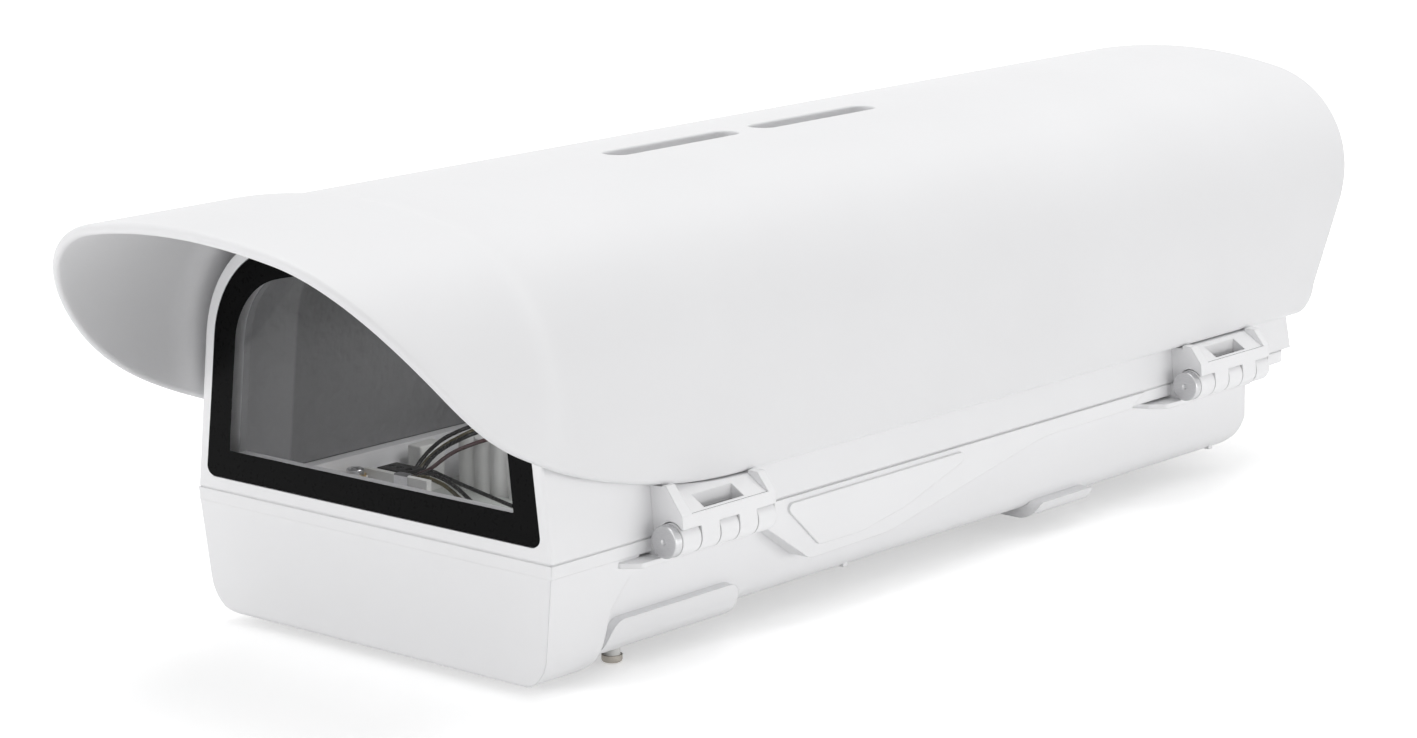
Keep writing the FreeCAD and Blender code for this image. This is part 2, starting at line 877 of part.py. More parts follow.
def lid_seal():
    """The rubber seal in the rim's groove, level with the parting plane."""
    return seal_loop(seal_width, -parting_gap - seal_depth, 0)


def hood_side_outline():
    """The sunshield's side outline: swept lip arcs, a level skirt and a raked tail."""
    bottom = hood_skirt
    y = lip_start
    z = bottom
    angle = 0.0
    edges = []
    place = in_yz(-120)
    for radius, turn in lip_arcs:
        points = []
        for step in (0.0, 0.5, 1.0):
            heading = math.radians(angle + turn * step)
            first = math.radians(angle)
            across = y - radius * (math.sin(heading) - math.sin(first))
            up = z + radius * (math.cos(first) - math.cos(heading))
            points.append((across, up))
        edges.append(arc(place(*points[0]), place(*points[1]), place(*points[2])))
        y, z = points[2]
        angle += turn
    top = hood_height + 40
    tail_top = (hood_tail, hood_height - 6)
    tail_bend = (hood_tail - 17.0, 42.7)
    tail_foot = (hood_tail - 30.0, 19.5)
    corner = (hood_tail - 40.0, bottom)
    edges += [
        line(place(y, z), place(y, top)),
        line(place(y, top), place(hood_tail, top)),
        line(place(hood_tail, top), place(*tail_top)),
        arc(place(*tail_top), place(hood_tail - 6.0, 61.5), place(*tail_bend)),
        line(place(*tail_bend), place(*tail_foot)),
        arc(place(*tail_foot), place(hood_tail - 33.2, bottom + 2.3), place(*corner)),
        line(place(*corner), place(lip_start, bottom)),
    ]
    return Part.Face(wire_of(edges)).extrude(Vector(240, 0, 0))


def hood_face(grow, y):
    """The sunshield's arch, grown or drawn in, across the casing at one depth."""
    return arch_face(
        hood_half_width + grow, hood_crown_radius + grow, hood_shoulder_radius + grow,
        hood_height + grow, hood_skirt - 5, in_xz(y))


def hood_body(grow):
    """The arch from the visor's full height, down a ramp, to the main length."""
    ramp_start = visor_start - visor_ramp
    visor = hood_face(grow + visor_step, -110).extrude(Vector(0, ramp_start + 110, 0))
    ramp = Part.makeLoft([
        hood_face(grow + visor_step, ramp_start).OuterWire,
        hood_face(grow, visor_start).OuterWire,
    ], True, True)
    main = hood_face(grow, visor_start).extrude(Vector(0, hood_tail + 20 - visor_start, 0))
    return visor.fuse([ramp, main])


def trough_solids():
    """For each fixing: the boss under the arch, the trough and the narrower slot in its floor."""
    floor_top = hood_height - trough_depth
    floor_bottom = floor_top - trough_floor
    inner_width = 2 * (shield_screw_radius + shield_slot_play)
    inner_length = trough_length - (trough_width - inner_width)
    bosses = []
    cuts = []
    for y in trough_centres:
        top = hood_height - hood_wall / 2
        bosses.append(slot_prism(0, y, trough_length + 4, trough_width + 4, floor_bottom, top))
        cuts.append(slot_prism(0, y, trough_length, trough_width, floor_top, hood_height + 5))
        cuts.append(slot_prism(0, y, inner_length, inner_width, floor_bottom - 1, floor_top + 1))
    return bosses, cuts


def sunshield():
    """The arched hood with its visor, its skirts and two fixing troughs along the top."""
    shell = hood_body(0).cut(hood_body(-hood_wall))
    shell = shell.common(hood_side_outline())
    bosses, cuts = trough_solids()
    shell = shell.fuse(bosses).cut(cuts)
    return shell.removeSplitter()


def shield_screw_ys():
    """The y of each sunshield screw, near the rear end of its slot with the sunshield pushed forward."""
    return [y + shield_screw_shift for y in trough_centres]


def shield_screw(y):
    """A low-headed screw that stands in the sunshield's slot, with a hexagonal socket."""
    base = hood_height - trough_depth + shield_washer_thickness
    head = upright(shield_head_radius, 0, y, base, base + shield_head_height)
    head = rounded_where(head, 0.5, lambda p, e: p.z > base + shield_head_height - 0.01)
    shank_length = base - cover_boss_top() + insert_length - 1
    shank = upright(shield_screw_radius, 0, y, base - shank_length, base)
    socket = hexagon(2.5, lambda a, b: Vector(a, y + b, base + shield_head_height - 1))
    return joined([head, shank]).cut(socket.extrude(Vector(0, 0, 3)))


def shield_washers():
    """The plain washers under the sunshield's screws."""
    base = hood_height - trough_depth
    rings = []
    for y in shield_screw_ys():
        ring = upright(shield_washer_radius, 0, y, base, base + shield_washer_thickness)
        rings.append(ring.cut(upright(shield_screw_radius + 0.1, 0, y, base - 1, base + 3)))
    return group(rings)


def shield_spacers():
    """Rubber rings between the cover's bosses and the sunshield."""
    low = cover_boss_top()
    rings = []
    for y in shield_screw_ys():
        ring = upright(boss_radius, 0, y, low, low + spacer_thickness)
        rings.append(ring.cut(upright(shield_screw_radius + 0.3, 0, y, low - 1, low + 3)))
    return group(rings)


def threaded_insert(radius, bore, x, y, low, high):
    """A brass insert with two knurled bands."""
    body = upright(radius - 0.25, x, y, low, high)
    length = high - low
    band = length * 0.32
    lower = upright(radius, x, y, low + length * 0.08, low + length * 0.08 + band)
    upper = upright(radius, x, y, high - length * 0.08 - band, high - length * 0.08)
    return joined([body, lower, upper]).cut(upright(bore, x, y, low - 1, high + 1))


def shield_inserts():
    """The inserts in the cover's bosses."""
    top = cover_boss_top()
    bore = shield_screw_radius + pin_play
    low = top - insert_length
    return group([threaded_insert(insert_radius, bore, 0, y, low, top) for y in shield_screw_ys()])


def hinge_pin(start):
    """A turned pin: a flat head with a shallow centre mark, a plain shank and a chamfered end."""
    head_end = start - 0.2
    face = head_end - pin_head_length
    tip = hinge_end(start) + 1.2
    head = along_y(pin_head_radius, pin_x, 0, face, head_end)
    head = rounded_where(head, 0.4, lambda p, e: p.y < face + 0.01)
    collar = along_y(pin_radius + 0.9, pin_x, 0, head_end - 0.01, head_end + 0.1)
    shank = along_y(pin_radius, pin_x, 0, face + 1, tip - 0.6)
    point = Part.makeCone(pin_radius, pin_radius - 0.6, 0.6, Vector(pin_x, tip - 0.6, 0), Vector(0, 1, 0))
    mark = Part.makeCone(1.3, 0.5, 0.8, Vector(pin_x, face - 0.4, 0), Vector(0, 1, 0))
    return joined([head, collar, shank, point]).cut(mark)


def closing_screw(centre):
    """A captive screw with a drilled, grooved head."""
    seat = lug_height
    head = upright(closing_head_radius, lug_x, centre, seat, seat + closing_head_height)
    head = rounded_where(head, 0.6, lambda p, e: p.z > seat + closing_head_height - 0.01)
    grooves = []
    for i in range(12):
        angle = math.radians(30 * i)
        x = lug_x + (closing_head_radius + 0.3) * math.cos(angle)
        y = centre + (closing_head_radius + 0.3) * math.sin(angle)
        grooves.append(upright(0.6, x, y, seat - 1, seat + closing_head_height + 1))
    shank = upright(closing_screw_radius, lug_x, centre, seat - closing_screw_length, seat + 1)
    top = seat + closing_head_height
    slot = block((lug_x - 5, centre - 0.5, top - 1.2), (lug_x + 5, centre + 0.5, top + 1))
    return joined([head, shank]).cut(grooves + [slot])


def closing_collars():
    """Snap rings that keep the closing screws in the cover's ears."""
    rings = []
    for centre in lug_centres:
        ring = upright(closing_screw_radius + 1.1, lug_x, centre, -parting_gap, parting_gap)
        rings.append(ring.cut(upright(closing_screw_radius, lug_x, centre, -2, 2)))
    return group(rings)


def closing_inserts():
    """The inserts under the closing screws, open enough for the screws to swing out."""
    low = -closing_insert_length()
    inserts = []
    for centre in lug_centres:
        bore = closing_screw_radius + closing_hole_play
        inserts.append(threaded_insert(insert_radius + 0.6, bore, lug_x, centre, low, -parting_gap - 0.8))
    return group(inserts)


def gland_body(x):
    """A gland's threaded body with its hexagon flange."""
    seat = gland_seat_y
    hexes = hexagon(gland_flat, lambda a, b: Vector(x + a, seat, gland_height + b))
    flange = hexes.extrude(Vector(0, gland_flange, 0))
    inner = seat - gland_wall - gland_nut_thickness - 1.0
    thread = along_y(gland_thread_radius, x, gland_height, inner, seat + 0.5)
    face = seat + gland_flange
    sleeve = along_y(gland_thread_radius - 0.5, x, gland_height, face - 0.5, face + 6)
    body = joined([flange, thread, sleeve])
    bore = along_y(gland_thread_radius - 1.9, x, gland_height, inner - 1, seat + 20)
    return body.cut(bore)


def gland_cap(x):
    """A gland's domed nut."""
    low = gland_seat_y + gland_flange + 0.4
    high = low + gland_cap_length
    cap = hexagon(gland_flat, lambda a, b: Vector(x + a, low, gland_height + b))
    cap = cap.extrude(Vector(0, gland_cap_length, 0))
    dome = Part.makeSphere(11.5, Vector(x, high - 10.9, gland_height))
    cap = cap.common(dome)
    hollow = along_y(gland_thread_radius - 0.45, x, gland_height, low - 1, high - 1.6)
    mouth = along_y(gland_bore_radius + 0.6, x, gland_height, high - 3, high + 2)
    return cap.cut([hollow, mouth])


def gland_seal(x):
    """The rubber bush that grips a cable inside a gland."""
    low = gland_seat_y + 1.0
    high = gland_seat_y + gland_flange + gland_cap_length - 2.2
    bush = along_y(gland_thread_radius - 1.95, x, gland_height, low, high)
    return bush.cut(along_y(gland_bore_radius, x, gland_height, low - 1, high + 1))


def gland_nut(x):
    """The nut that holds a gland from inside the rear wall."""
    high = gland_seat_y - gland_wall
    nut = hexagon(gland_nut_flat, lambda a, b: Vector(x + a, high - gland_nut_thickness, gland_height + b))
    nut = nut.extrude(Vector(0, gland_nut_thickness, 0))
    return nut.cut(along_y(gland_thread_radius + 0.05, x, gland_height, high - 10, high + 1))


def bracket_inserts():
    """The four threaded inserts that a wall bracket bolts to."""
    top = -foot_face + bracket_insert_length
    return group([
        threaded_insert(bracket_insert_radius, bracket_hole_radius, x, y, -foot_face, top)
        for x, y in bracket_places()])


def foot_screws():
    """The two screws under the front feet."""
    screws = []
    for sx in (-1, 1):
        x = sx * foot_screw_x
        seat = -foot_face - foot_spacer_height
        head = upright(foot_head_radius, x, foot_screw_y, seat - foot_head_height, seat)
        head = rounded_where(head, 0.8, lambda p, e: p.z < seat - foot_head_height + 0.01)
        shank = upright(foot_screw_radius, x, foot_screw_y, seat - 1, -foot_face + 7)
        cross = group([
            block((x - 1.6, foot_screw_y - 0.35, seat - 4), (x + 1.6, foot_screw_y + 0.35, seat - 1)),
            block((x - 0.35, foot_screw_y - 1.6, seat - 4), (x + 0.35, foot_screw_y + 1.6, seat - 1)),
        ])
        screws.append(joined([head, shank]).cut(cross))
    return group(screws)


def foot_spacers():
    """The plastic bushes between the front feet and their screws."""
    rings = []
    for sx in (-1, 1):
        x = sx * foot_screw_x
        low = -foot_face - foot_spacer_height
        ring = upright(foot_spacer_radius, x, foot_screw_y, low, -foot_face)
        rings.append(ring.cut(upright(foot_screw_radius + 0.02, x, foot_screw_y, low - 1, -foot_face + 1)))
    return group(rings)


def camera_tray():
    """A folded plate with upturned sides, a long camera slot and four fixing holes."""
    low = tray_height
    half = tray_half_width
    section = [
        (-half, low + tray_flange, 0),
        (-half, low, 2.4),
        (half, low, 2.4),
        (half, low + tray_flange, 0),
        (half - tray_thickness, low + tray_flange, 0),
        (half - tray_thickness, low + tray_thickness, 0.4),
        (-half + tray_thickness, low + tray_thickness, 0.4),
        (-half + tray_thickness, low + tray_flange, 0),
    ]
    tray = prism_y(section, tray_front, tray_back)
    cuts = []
    middle = (tray_slot_ends[0] + tray_slot_ends[1]) / 2
    length = tray_slot_ends[1] - tray_slot_ends[0]
    cuts.append(slot_prism(0, middle, length, tray_slot_width, low - 1, low + 10))
    for x, y in tray_places():
        cuts.append(upright(tray_screw_radius + 0.2, x, y, low - 1, low + 10))
    for sx in (-1, 1):
        for y in (182.0, 254.0):
            cuts.append(slot_prism(sx * 26.0, y, 46.0, 14.0, low - 1, low + 3))
    return tray.cut(cuts)


def pan_screw(radius, head_radius, head_height, length, x, y, seat):
    """A pan-headed screw with a cross recess, head up."""
    head = upright(head_radius, x, y, seat, seat + head_height)
    head = rounded_where(head, head_height * 0.35, lambda p, e: p.z > seat + head_height - 0.01)
    shank = upright(radius, x, y, seat - length, seat + 0.2)
    arm = head_radius * 0.55
    cross = group([
        block((x - arm, y - 0.3, seat + head_height - 0.9), (x + arm, y + 0.3, seat + 5)),
        block((x - 0.3, y - arm, seat + head_height - 0.9), (x + 0.3, y + arm, seat + 5)),
    ])
    return joined([head, shank]).cut(cross)


def tray_screws():
    """The four screws that hold the tray on its bosses."""
    seat = tray_height + tray_thickness
    return group([
        pan_screw(tray_screw_radius - pin_play, 3.4, 2.2, 8, x, y, seat) for x, y in tray_places()])


def camera_screw():
    """The knurled screw that clamps a camera from below, in the tray's slot."""
    seat = tray_height - 1.0
    knob = upright(8.0, 0, camera_screw_y, seat - 6.0, seat)
    notches = []
    for i in range(16):
        angle = math.radians(22.5 * i)
        x = 8.4 * math.cos(angle)
        y = camera_screw_y + 8.4 * math.sin(angle)
        notches.append(upright(0.9, x, y, seat - 8, seat + 1))
    knob = knob.cut(notches)
    shank = upright(3.1, 0, camera_screw_y, seat - 1, tray_height + tray_thickness + 6)
    return joined([knob, shank])


def camera_washer():
    """The washer between the camera screw's knob and the tray."""
    low = tray_height - 1.0
    ring = upright(7.0, 0, camera_screw_y, low, tray_height)
    return ring.cut(upright(3.15, 0, camera_screw_y, low - 1, tray_height + 1))


def wiring_board():
    """The board that carries the terminals and the power module."""
    board = prism_z([
        (board_x[0], board_y[0], 3),
        (board_x[1], board_y[0], 3),
        (board_x[1], board_y[1], 3),
        (board_x[0], board_y[1], 3),
    ], board_height, board_height + board_thickness)
    holes = [upright(board_screw_radius + 0.2, x, y, board_height - 1, 0) for x, y in board_places()]
    return board.cut(holes)


def board_screws():
    """The screws that hold the board on its bosses."""
    seat = board_height + board_thickness
    return group([
        pan_screw(board_screw_radius - pin_play, 2.6, 1.8, 6.0, x, y, seat) for x, y in board_places()])


def terminal_plinth():
    """The pale moulded plinth: a base under the terminal block and a wall in front of it."""
    low = board_height + board_thickness
    high = terminal_top - terminal_size[2]
    back = terminal_y + terminal_size[1] / 2
    right = terminal_x + terminal_size[0] / 2
    base = block((plinth_wall[0], plinth_wall_y[1] - 0.5, low), (right, back, high))
    wall = block((plinth_wall[0], plinth_wall_y[0], low), (plinth_wall[1], plinth_wall_y[1], plinth_wall_top))
    foot_back = plinth_wall_y[1] + 2.5
    foot = block((right - 1, plinth_wall_y[1] - 0.5, low), (plinth_wall[1], foot_back, low + 1.6))
    return joined([base, wall, foot])


def plinth_clip():
    """A folded spring clip that hooks over the plinth's wall."""
    thick = clip_thickness
    front, back = plinth_wall_y
    top = plinth_wall_top
    return prism_x([
        (front, top - 4.0, 0),
        (front, top, 0),
        (back, top, 0),
        (back, top - 2.4, 0),
        (back + thick, top - 2.4, 0),
        (back + thick, top + thick, thick),
        (front - thick, top + thick, thick),
        (front - thick, top - 4.0, 0),
    ], clip_x[0], clip_x[1])


def terminal_block():
    """The black terminal block with its row of screw wells and a mouth for each wire."""
    width, depth, height = terminal_size
    low = terminal_top - height
    body = prism_x([
        (terminal_y - depth / 2, low, 0),
        (terminal_y - depth / 2, terminal_top, 0.8),
        (terminal_y + depth / 2, terminal_top, 0.8),
        (terminal_y + depth / 2, low, 0),
    ], terminal_x - width / 2, terminal_x + width / 2)
    cuts = [upright(1.2, x, terminal_y, terminal_top - 2.4, terminal_top + 1) for x in terminal_wells()]
    for route in wire_routes().values():
        run = Vector(*route[1]) - Vector(*route[0])
        cuts.append(rod(wire_radius + mouth_play, route[0], tuple(run), run.Length))
    return body.cut(cuts)


def terminal_wells():
    """The x of each screw well in the terminal block."""
    return [terminal_x + (i - 1) * well_pitch for i in range(3)]


def terminal_screws():
    """The small clamping screws in the terminal block."""
    low = terminal_top - 2.4
    screws = []
    for x in terminal_wells():
        screw = upright(1.1, x, terminal_y, low, terminal_top - 0.3)
        front = terminal_y - 0.25
        slot = block((x - 2, front, terminal_top - 1.0), (x + 2, front + 0.5, terminal_top + 1))
        screws.append(screw.cut(slot))
    return group(screws)


def wire_socket():
    """The low black socket that the front wires run into."""
    low = board_height + board_thickness
    body = block((socket_x[0], socket_y[0], low), (socket_x[1], socket_y[1], socket_top))
    mouths = []
    for route in wire_routes().values():
        end = Vector(*route[-1])
        if end.x > socket_x[0]:
            run = Vector(*route[-2]) - end
            mouths.append(rod(wire_radius + mouth_play, tuple(end), tuple(run), 8))
    return body.cut(mouths)


def relay():
    """The pale relay behind the terminal block."""
    low = board_height + board_thickness
    box = block((relay_x[0], relay_y[0], low), (relay_x[1], relay_y[1], relay_top))
    return rounded_where(box, 0.6, lambda p, e: p.z > low + 0.1)


def power_module():
    """The potted supply: a pale box whose front is a row of upright round ribs."""
    low = board_height + board_thickness
    body = prism_z([
        (module_x[0], module_y[0] + 2, 0),
        (module_x[1], module_y[0] + 2, 0),
        (module_x[1], module_y[1], 2),
        (module_x[0], module_y[1], 2),
    ], low, module_top)
    pitch = (module_x[1] - module_x[0]) / module_ribs
    ribs = []
    for i in range(module_ribs):
        x = module_x[0] + pitch * (i + 0.5)
        ribs.append(upright(pitch / 2 - 0.15, x, module_y[0] + pitch / 2, low, module_top))
    return joined([body] + ribs)


def earth_screw():
    """The earth screw on its own boss by the side wall."""
    return pan_screw(1.2, 2.6, 1.8, 6.0, -55.6, 49.0, -4.4)


def earth_tag():
    """The ring tag under the earth screw."""
    ring = upright(3.2, -55.6, 49.0, -5.0, -4.4)
    tail = block((-56.8, 42.8, -5.0), (-54.4, 49.0, -4.4))
    return joined([ring, tail]).cut(upright(1.3, -55.6, 49.0, -6, 0))


def tube(points, radius):
    """A wire's solid: straight runs between points, with the largest tangent arcs that fit."""
    vectors = [Vector(*p) for p in points]
    edges = []
    last = vectors[0]
    radii = []
    for i in range(1, len(vectors) - 1):
        before = vectors[i - 1] - vectors[i]
        after = vectors[i + 1] - vectors[i]
        turn = math.pi - before.getAngle(after)
        reach = 0.45 * min(before.Length, after.Length)
        bend = reach / math.tan(turn / 2)
        radii.append(bend)
        before.normalize()
        after.normalize()
        first = vectors[i] + before * reach
        end = vectors[i] + after * reach
        bisector = (before + after).normalize()
        middle = vectors[i] + bisector * (bend / math.cos(turn / 2) - bend)
        edges.append(line(last, first))
        edges.append(arc(first, middle, end))
        last = end
    edges.append(line(last, vectors[-1]))
    path = Part.Wire(edges)
    start = vectors[1] - vectors[0]
    circle = Part.Wire(Part.makeCircle(radius, vectors[0], start))
    print("wire bend radii", [round(r, 1) for r in radii], "length", round(path.Length, 1))
    return path.makePipeShell([circle], True, False)


def wire_routes():
    """The corners of each inner wire, from the terminal block to the board or the socket."""
    board_top = board_height + board_thickness
    rear_y = module_y[1] + 8
    rear_start = terminal_y + terminal_size[1] / 2 - 1.3
    side_start = terminal_x + terminal_size[0] / 2 - 0.5
    over = module_top + 6.5
    return {
        "wire_black_rear": [
            (-48.9, rear_start, -6.6), (-48.8, 70.2, -1.8), (-43.4, 72.4, 3.6), (-34.0, 75.0, 8.5),
            (-24.0, 90.0, over + 2.0), (-19.0, 104.0, over), (-18.0, rear_y, 1.0),
            (-18.0, rear_y, board_top)],
        "wire_olive_rear": [
            (-47.4, rear_start, -6.6), (-47.3, 70.6, -2.2), (-41.7, 72.2, 2.3), (-31.8, 75.6, 8.1),
            (-22.0, 90.5, over + 1.6), (-16.0, 104.0, over - 0.4), (-15.0, rear_y, 1.0),
            (-15.0, rear_y, board_top)],
        "wire_black_middle": [
            (-45.9, rear_start, -6.6), (-45.8, 70.0, -2.0), (-40.2, 70.8, 2.2), (-30.2, 73.9, 7.6),
            (-20.0, 90.0, over + 1.0), (-13.5, 104.0, over - 1.0), (-12.0, rear_y, 1.0),
            (-12.0, rear_y, board_top)],
        "wire_brown": [
            (side_start, 63.4, -5.8), (-41.0, 64.4, -3.9), (-35.7, 68.4, 1.5), (-25.2, 72.9, 6.4),
            (-12.0, 90.0, over - 1.0), (-7.0, 104.0, over - 2.0), (-6.0, rear_y, 1.0),
            (-6.0, rear_y, board_top)],
        "wire_black_long": [
            (side_start, 61.6, -5.6), (-41.8, 61.6, -5.2), (-37.5, 61.6, -2.9), (-26.4, 60.7, -4.5),
            (3.1, 54.7, -6.1), (socket_x[0] + 1.5, 54.4, -6.5)],
        "wire_black_low": [
            (side_start, 59.9, -5.6), (-41.8, 59.9, -5.3), (-37.0, 59.7, -3.2), (-28.0, 58.2, -3.6),
            (-19.8, 55.9, -5.2), (-12.5, 54.6, -8.4), (-2.0, 55.5, -10.4), (socket_x[0] + 1.5, 57.4, -10.8)],
        "wire_olive_low": [
            (side_start, 58.3, -5.6), (-41.8, 58.3, -5.4), (-37.0, 58.1, -3.8), (-28.2, 57.0, -4.6),
            (-22.6, 56.4, -6.6), (-17.0, 56.6, -10.0), (-4.0, 58.5, -11.4), (socket_x[0] + 1.5, 60.4, -11.6)],
    }


def write(name, shape):
    """Move one finished shape into the part's frame and write it."""
    moved = shape.copy()
    moved.Placement = Placement(Vector(0, -bracket_centre_y, foot_face), Rotation()).multiply(moved.Placement)
    if not moved.isValid():
        print("not valid:", name)
    print(name, "solids", len(moved.Solids), "volume", round(moved.Volume, 1))
    moved.exportStep("parts/" + name + ".step")


def main():
    """Build every piece and write one file for each."""
    os.makedirs("parts", exist_ok=True)
    write("upper_casing", upper_casing())
    write("lower_casing", lower_casing())
    write("sunshield", sunshield())
    write("window", window_plate())
    write("window_gasket", window_gasket())
    write("lid_seal", lid_seal())
    for name, start in zip(("front_hinge_pin", "rear_hinge_pin"), hinge_starts):
        write(name, hinge_pin(start))
    for name, y in zip(("sunshield_screw_front", "sunshield_screw_rear"), shield_screw_ys()):
        write(name, shield_screw(y))
    write("sunshield_washers", shield_washers())
    write("sunshield_spacers", shield_spacers())
    write("sunshield_inserts", shield_inserts())
    for name, centre in zip(("closing_screw_front", "closing_screw_rear"), lug_centres):
        write(name, closing_screw(centre))
    write("closing_screw_collars", closing_collars())
    write("closing_inserts", closing_inserts())
    for number, x in enumerate(gland_places(), 1):
        write("gland_body_%d" % number, gland_body(x))
        write("gland_cap_%d" % number, gland_cap(x))
        write("gland_seal_%d" % number, gland_seal(x))
        write("gland_locknut_%d" % number, gland_nut(x))
    write("bracket_inserts", bracket_inserts())
    write("foot_screws", foot_screws())
    write("foot_spacers", foot_spacers())
    write("camera_tray", camera_tray())
    write("tray_screws", tray_screws())
    write("camera_screw", camera_screw())
    write("camera_screw_washer", camera_washer())
    write("wiring_board", wiring_board())
    write("board_screws", board_screws())
    write("terminal_plinth", terminal_plinth())
    write("plinth_clip", plinth_clip())
    write("relay", relay())
    write("terminal_block", terminal_block())
    write("terminal_screws", terminal_screws())
    write("wire_socket", wire_socket())
    write("power_module", power_module())
    write("earth_screw", earth_screw())
    write("earth_tag", earth_tag())
    for name, points in wire_routes().items():
        write(name, tube(points, wire_radius))


main()
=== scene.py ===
"""Looks of the camera housing: materials, fine surfaces, floor, light and camera."""

import json
import math

import bpy
import numpy as np
from mathutils import Matrix, Vector


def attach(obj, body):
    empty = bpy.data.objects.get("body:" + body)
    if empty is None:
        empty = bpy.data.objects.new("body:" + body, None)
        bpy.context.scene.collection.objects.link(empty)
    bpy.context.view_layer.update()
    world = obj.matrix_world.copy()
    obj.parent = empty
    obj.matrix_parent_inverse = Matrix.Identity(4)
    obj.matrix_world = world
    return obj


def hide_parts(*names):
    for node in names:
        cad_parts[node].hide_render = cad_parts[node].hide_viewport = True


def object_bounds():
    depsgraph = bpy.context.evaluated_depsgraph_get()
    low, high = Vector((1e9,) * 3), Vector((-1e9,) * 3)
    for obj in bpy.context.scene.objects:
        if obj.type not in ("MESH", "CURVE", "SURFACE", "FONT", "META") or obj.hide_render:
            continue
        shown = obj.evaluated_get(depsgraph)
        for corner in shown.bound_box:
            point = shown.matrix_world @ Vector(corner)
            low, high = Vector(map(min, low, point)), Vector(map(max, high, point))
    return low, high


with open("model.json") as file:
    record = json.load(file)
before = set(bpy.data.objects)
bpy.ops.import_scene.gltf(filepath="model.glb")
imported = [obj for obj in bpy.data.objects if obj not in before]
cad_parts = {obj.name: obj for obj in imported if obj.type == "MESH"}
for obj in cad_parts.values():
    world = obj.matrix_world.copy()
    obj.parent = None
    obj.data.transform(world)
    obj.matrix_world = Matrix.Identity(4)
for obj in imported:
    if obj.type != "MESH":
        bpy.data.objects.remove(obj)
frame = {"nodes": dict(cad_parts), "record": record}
cad_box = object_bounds()
nodes = frame["nodes"]

MM = 0.001
DEPTH_SHIFT = -165.0
HEIGHT_SHIFT = 32.3

# Camera, measured from the photograph
CAMERA_EYE = (735.04, -872.42, 296.81)
CAMERA_TARGET = (0.181, -25.414, 51.129)
CAMERA_ROLL = -0.34
CAMERA_LENS = 99.36
SENSOR_WIDTH = 36.0
CLIP_RANGE = (0.05, 50.0)

# Moulded plastic; depths, radii and places in metres
SHELL_WHITE = (0.86, 0.86, 0.87)
HOOD_WHITE = (0.8, 0.8, 0.81)
GLOSS_SPREAD = 0.05
EDGE_SOFTNESS = 0.0005
EDGE_SAMPLES = 6

# The cover's grained inside, with painted light on its flared front
LINING_GREY = (0.215, 0.215, 0.22)
LINING_CENTRE = 0.062
LINING_FACING = -0.02
LEATHER_GRAIN = 230.0
LEATHER_DEPTH = 0.0011
# Painted light on the lining's flared front: where it ends, how softly it fades, and how much paler it is
# painted
FLARE_END = -0.134
FLARE_BLEND = 0.0006
FLARE_PAINTED_LIGHT = 1.5

# Window glass
GLASS_TINTS = ((0.945, 0.945, 0.948), (0.96, 0.96, 0.963))
GLASS_HAZE = 0.02
GLASS_IOR = 1.25

# Floor, world and lamps: a lamp's name, place, aim, width, height and power
STAGE_GREYS = ((0.87, 0.87, 0.87), (0.89, 0.89, 0.89))
FLOOR_GLOW = 0.45
FLOOR_GAP = 0.0004
FLOOR_REACH = 6.0
WORLD_LEVEL = 0.48
MIDDLE = (0.0, 0.0, 0.06)
LAMPS = (
    ("top", (-0.2, 0.35, 1.8), MIDDLE, 1.6, 1.6, 20.5),
    ("side", (1.6, 0.3, 0.12), MIDDLE, 1.5, 0.4, 8.7),
    ("front", (-0.45, -1.7, 0.35), MIDDLE, 1.0, 0.6, 8.8),
    ("inside", (0.012, -0.09, 0.085), (0.012, -0.08, 0.0), 0.06, 0.05, 0.046),
)

# Sunshield, in millimetres from the front face and the parting plane
HOOD_HALF = 70.3
HOOD_TOP = 88.0
HOOD_CROWN = 180.0
HOOD_SHOULDER = 44.5
HOOD_WALL = 3.0
HOOD_SKIRT = 11.2
HOOD_TAIL = 388.4
LIP_START = 73.7
LIP_ARCS = ((201.5, 25.9), (79.4, 22.3), (204.5, 18.0))
VISOR_STEP = 1.9
VISOR_MIDDLE = -2.0
VISOR_SOFTNESS = 3.6
TAIL_LOW_ARC = ((HOOD_TAIL - 40.0, HOOD_SKIRT), (HOOD_TAIL - 33.2, HOOD_SKIRT + 2.3),
                (HOOD_TAIL - 30.0, 19.5))
TAIL_HIGH_ARC = ((HOOD_TAIL - 17.0, 42.7), (HOOD_TAIL - 6.0, 61.5), (HOOD_TAIL, HOOD_TOP - 6.0))

# The sunshield's mesh: rows of faces in each run, and the fine strips along the lip and the tail
LIP_ROWS = 84
TROUGH_ROWS = 36
BETWEEN_ROWS = 3
TAIL_ROWS = 44
LIP_STRIP = 1.6
LIP_STRIP_RANGE = (1.5, 9.0)
LIP_STRIP_RISE = 60
LIP_STRIP_LEAST = 0.12
TAIL_STRIP = 3.0
BORDER_SAMPLES = 900
SWEPT_BELOW = 60
DISTANCE_BATCH = 2000

# Adjustment troughs; the profiles are distances from the slot's middle line and heights over the floor
# and over the boss's lower end
TROUGH_CENTRES = (124.3, 187.8)
TROUGH_HALF = 23.0
TROUGH_RADIUS = 4.25
TROUGH_FLOOR = 83.0
BOSS_RADIUS = 6.25
BOSS_BOTTOM = 81.0
SLOT_RADIUS = 2.4
TROUGH_SOFTNESS = 0.7
TROUGH_PROFILE = ((4.2, 0.5), (4.12, 0.17), (3.9, 0.03), (3.6, 0.0), (SLOT_RADIUS + 0.5, 0.0),
                  (SLOT_RADIUS + 0.15, -0.04), (SLOT_RADIUS, -0.3))
BOSS_PROFILE = ((SLOT_RADIUS, 0.3), (SLOT_RADIUS + 0.1, 0.05), (SLOT_RADIUS + 0.4, 0.0),
                (BOSS_RADIUS - 0.4, 0.0), (BOSS_RADIUS - 0.1, 0.08), (BOSS_RADIUS, 0.4))
PATCH_X = 8.0
PATCH_MARGIN = 3.0

